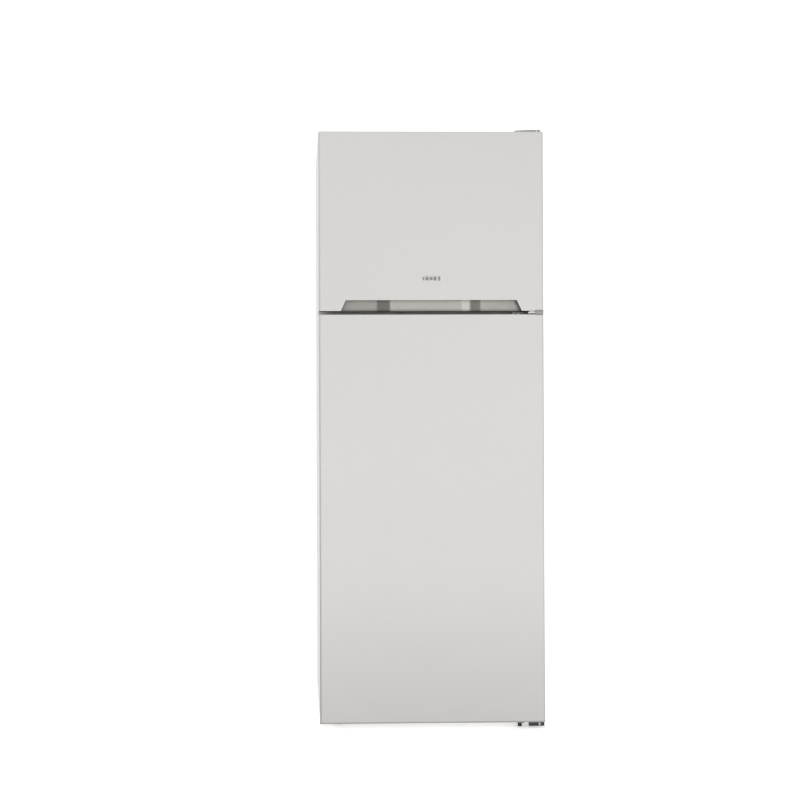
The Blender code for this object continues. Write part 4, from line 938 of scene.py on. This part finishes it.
def compressor_bay():
    cx, cy = 0.07, 0.226  # centre of the compressor
    seam = Piece("compressor_seam", "black_steel")
    loops = [[(a, b, z) for a, b in oval(cx, cy, 0.088 + grow, 0.072 + grow)]
            for grow, z in ((0.0006, 0.112), (0.0035, 0.1128), (0.0035, 0.1152), (0.0006, 0.116))]
    loops += [[(a, b, z) for a, b in oval(cx, cy, 0.0855, 0.0695)] for z in (0.116, 0.112)]
    seam.skin(loops, closed=True)
    seam.done(angle=50)
    grommets = Piece("compressor_grommets", "rubber")
    bolts = Piece("compressor_bolts", "hinge_steel")
    for at in [(cx + dx, cy + dy) for dx in (-0.09, 0.09) for dy in (-0.06, 0.06)]:
        grommets.lathe([(0.0045, 0.0436), (0.0095, 0.0436), (0.01, 0.0445), (0.01, 0.0485),
                (0.008, 0.05), (0.008, 0.052), (0.0095, 0.053), (0.009, 0.055),
                (0.0045, 0.055)], at, "z", 20, closed=True)
        bolts.lathe([(TINY, 0.048), (0.003, 0.048), (0.003, 0.0552), (0.0062, 0.0552),
                (0.0064, 0.056), (0.0064, 0.059), (0.0056, 0.06), (TINY, 0.06)], at, "z", 6)
    grommets.done()
    bolts.done(angle=20)
    blocks("terminal_box", "rubber", "cabinet",
           ((cx - 0.122, cy - 0.03, 0.078), (cx - 0.084, cy + 0.03, 0.132), 0.004),
           ((cx - 0.124, cy - 0.022, 0.086), (cx - 0.119, cy + 0.022, 0.124), 0.0016))
    copper = Piece("copper_tubes", "copper")
    for path, radius, sides, smooth in (
        ([(0.13, 0.256, 0.15), (0.17, 0.278, 0.152), (0.22, 0.286, 0.15), (0.255, 0.302, 0.16),
          (0.27, 0.311, 0.178), (0.272, 0.313, 0.196)], 0.0032, 10, 3),
        ([(0.14, 0.216, 0.142), (0.19, 0.206, 0.142), (0.22, 0.206, 0.15), (0.23, 0.206, 0.175),
          (0.23, 0.206, 0.216)], 0.0038, 10, 3),
        ([(0.09, 0.288, 0.14), (0.09, 0.308, 0.144), (0.066, 0.312, 0.164), (0.06, 0.312, 0.178)],
         0.0026, 10, 3),
        ([(-0.112, 0.292, 0.169), (-0.112, 0.292, 0.183), (-0.118, 0.3, 0.196),
          (-0.122, 0.305, 0.215)], 0.0024, 10, 2),
        ([(-0.112, 0.292, 0.0715), (-0.112, 0.29, 0.056), (-0.126, 0.28, 0.048),
          (-0.16, 0.262, 0.052), (-0.196, 0.25, 0.09), (-0.206, 0.246, 0.16),
          (-0.206, 0.246, 0.2155)], 0.001, 8, 3),
    ):
        copper.tube(path, radius, sides, smooth)
    copper.lathe([(TINY, 0.07), (0.0032, 0.0705), (0.004, 0.076), (0.0105, 0.084), (0.011, 0.086),
            (0.011, 0.154), (0.0105, 0.156), (0.004, 0.164), (0.003, 0.17), (TINY, 0.1705)],
            (-0.112, 0.292), "z", 24)
    copper.done(angle=60)
    riser = Piece("condenser_risers", "black_steel")
    riser.tube([(0.272, 0.313, 0.196), (0.272, 0.318, 0.23), (0.276, 0.329, 0.26),
            (0.284, 0.3315, 0.3), (0.28, 0.3315, 0.327), (0.262, 0.3315, 0.33)], 0.0024, 10, 3)
    riser.tube([(0.268, 0.3315, 1.59), (0.29, 0.3315, 1.59), (0.312, 0.33, 1.584),
            (0.314, 0.3285, 1.55), (0.314, 0.328, 0.9), (0.314, 0.328, 0.3),
            (0.31, 0.323, 0.24), (0.29, 0.316, 0.218), (0.2, 0.314, 0.208),
            (-0.06, 0.313, 0.207), (-0.112, 0.306, 0.202), (-0.116, 0.298, 0.19),
            (-0.114, 0.293, 0.18)], 0.0024, 10, 2)
    riser.done(angle=60)
    pan = Piece("drain_pan", "hinge_grey")
    section = ((0.006, 0.0404), (0.001, 0.0424), (0.0, 0.07), (-0.003, 0.0704), (-0.003, 0.0716),
            (0.0016, 0.0716), (0.0026, 0.044), (0.008, 0.0424))
    pan.skin([[(a, b, z) for a, b in ring(-0.256 + d, -0.14 - d, 0.15 + d, 0.236 - d, 0.01 - d / 2)]
            for d, z in section])
    pan.done()
    hose = Piece("drain_hose", "rubber")
    hose.tube([(-0.198, 0.196, 0.2162), (-0.198, 0.194, 0.17), (-0.198, 0.192, 0.084),
            (-0.198, 0.192, 0.06)], 0.0058, 14, 1)
    hose.done(angle=60)
    gland = Piece("cord_gland", "rubber")
    gland.lathe([(0.003, 0.34), (0.0052, 0.34), (0.0056, 0.338), (0.0062, 0.335),
            (0.0086, 0.333), (0.009, 0.325), (0.009, 0.3226), (0.003, 0.3226)],
            (-0.3, 0.23), "y", 24, closed=True)
    gland.done()


# ---- freezer and fridge walls ------------------------------------------------------------------
def wall_details():
    screws = Piece("evaporator_cover_screws", "cap_plastic")
    for x, z in ((-0.27, 1.38), (0.27, 1.38), (-0.27, 1.77), (0.27, 1.77)):
        screws.screw((x, 0.196, z), "y", -1, 0.005)
    screws.done()
    beads = Piece("evaporator_cover_beads", "liner_white")
    for x in (-0.215, -0.13, 0.13, 0.215):
        beads.box((x - 0.004, 0.1948, 1.4), (x + 0.004, 0.1962, 1.64), 0.0007, 2, 0.0038, "y")
    beads.lathe([(0.06, 0.1955), (0.0612, 0.1964), (0.0625, 0.1964), (0.064, 0.195),
            (0.0655, 0.1945), (0.067, 0.195), (0.0675, 0.1966)], (0.0, 1.69), "y", 64, closed=True)
    beads.done(angle=50)
    screws = Piece("duct_screws", "cap_plastic")
    for z in (0.43, 0.8, 1.17):
        screws.screw((0.0, 0.2445, z), "y", -1, 0.0046)
    screws.done()
    places = [s * (0.115 + 0.045 * i) for s in (-1, 1) for i in range(4)]
    blocks("fridge_back_channel", "liner_white", "cabinet", *[
        ((x - 0.003, 0.2684, 0.64), (x + 0.003, 0.2712, 1.2), 0.0012, 2, 0.0028, "y") for x in places])


# ---- stage, light and camera -------------------------------------------------------------------
def floor():
    """A pale floor that turns up into a wall far behind."""
    white = Finish("floor_paint", (0.9, 0.9, 0.895), 0.7,
            Emission_Color=(1, 1, 1, 1), Emission_Strength=0.46)
    mat = white.mottle(0.9, 0.006).polish(3.0, 0.05).grain(40.0, 0.00005).done()
    half, bend, radius, top = 14.0, 7.0, 3.0, 9.0
    profile = [(-half, 0.0), (bend, 0.0)]
    for t in [math.pi / 24 * i for i in range(1, 13)]:
        profile.append((bend + radius * math.sin(t), radius - radius * math.cos(t)))
    profile.append((bend + radius, top))
    bm = bmesh.new()
    left, right = [[bm.verts.new((x, y, z)) for y, z in profile] for x in (-half, half)]
    for i in range(len(profile) - 1):
        bm.faces.new((left[i], right[i], right[i + 1], left[i + 1]))
    mesh = bpy.data.meshes.new("floor")
    bm.to_mesh(mesh)
    bm.free()
    mesh.polygons.foreach_set("use_smooth", [True] * len(mesh.polygons))
    mesh.materials.append(mat)
    made = bpy.data.objects.new("floor", mesh)
    bpy.context.scene.collection.objects.link(made)


def lights():
    """Soft daylight that fades overhead, and four large dim lamps."""
    scene = bpy.context.scene
    scene.world = bpy.data.worlds.new("studio")
    scene.world.use_nodes = True
    sky = scene.world.node_tree
    back = sky.nodes["Background"]
    back.inputs["Color"].default_value = (1.0, 0.998, 0.993, 1)
    where = sky.nodes.new("ShaderNodeTexCoord")
    split = sky.nodes.new("ShaderNodeSeparateXYZ")
    fade = sky.nodes.new("ShaderNodeMapRange")
    fade.interpolation_type = "SMOOTHSTEP"
    for socket, value in {"From Min": 0.22, "From Max": 0.8, "To Min": 0.96, "To Max": 0.47}.items():
        fade.inputs[socket].default_value = value
    sky.links.new(where.outputs["Generated"], split.inputs[0])
    sky.links.new(split.outputs["Z"], fade.inputs["Value"])
    sky.links.new(fade.outputs["Result"], back.inputs["Strength"])
    for name, at, aim, size, power in (
        ("key", (-1.9, -5.0, 3.0), (0, -0.3, 0.95), 2.4, 24.5),
        ("fill", (1.2, -5.4, 1.6), (0, -0.3, 0.85), 2.2, 11.3),
        ("top", (-0.4, -0.2, 5.0), (0, 0, 0), 3.0, 32),
        ("rear", (1.8, 4.4, 3.2), (0, 0.3, 0.9), 3.0, 28),
    ):
        lamp = bpy.data.lights.new(name, "AREA")
        lamp.shape = "SQUARE"
        lamp.size, lamp.energy = size, power
        lamp.color = (1.0, 0.99, 0.975)
        made = bpy.data.objects.new(name, lamp)
        made.location = at
        made.rotation_euler = (Vector(aim) - Vector(at)).to_track_quat("-Z", "Y").to_euler()
        scene.collection.objects.link(made)
    scene.view_settings.view_transform = "Standard"


def camera():
    """A standing view, square to the doors and a little to their left."""
    place = Vector((-0.4178, -4.802, 0.999))
    yaw, pitch, roll = (math.radians(angle) for angle in (1.522, -0.305, -0.194))
    forward = Vector((math.sin(yaw) * math.cos(pitch), math.cos(yaw) * math.cos(pitch), -math.sin(pitch)))
    right = Vector((math.cos(yaw), -math.sin(yaw), 0.0))
    up = right.cross(forward)
    turned_right = math.cos(roll) * right + math.sin(roll) * up
    turned_up = -math.sin(roll) * right + math.cos(roll) * up
    data = bpy.data.cameras.new("camera")
    data.sensor_width, data.lens, data.shift_x, data.clip_end = 36.0, 64.84, 0.0807, 60.0
    made = bpy.data.objects.new("camera", data)
    turn = Matrix((turned_right, turned_up, -forward)).transposed()
    made.matrix_world = Matrix.Translation(place) @ turn.to_4x4()
    bpy.context.scene.collection.objects.link(made)
    bpy.context.scene.camera = made


dress_solids()
freezer_liner()
fridge_liner()
door_liner("freezer_door", FREEZER_DOOR, (1.335, 1.7875), 0.065, FREEZER_BINS)
door_liner("fridge_door", FRIDGE_DOOR, (0.09, 1.248), 0.075, FRIDGE_BINS)
gaskets()
shelves()
crisper_cover()
bin_rails()
drawer_dressing()
ice_tray_dressing()
thermostat()
badge_mark()
top_hinge()
middle_hinge()
bottom_hinge()
hole_plugs()
feet()
condenser()
back_details()
compressor_bay()
wall_details()
floor()
lights()
camera()
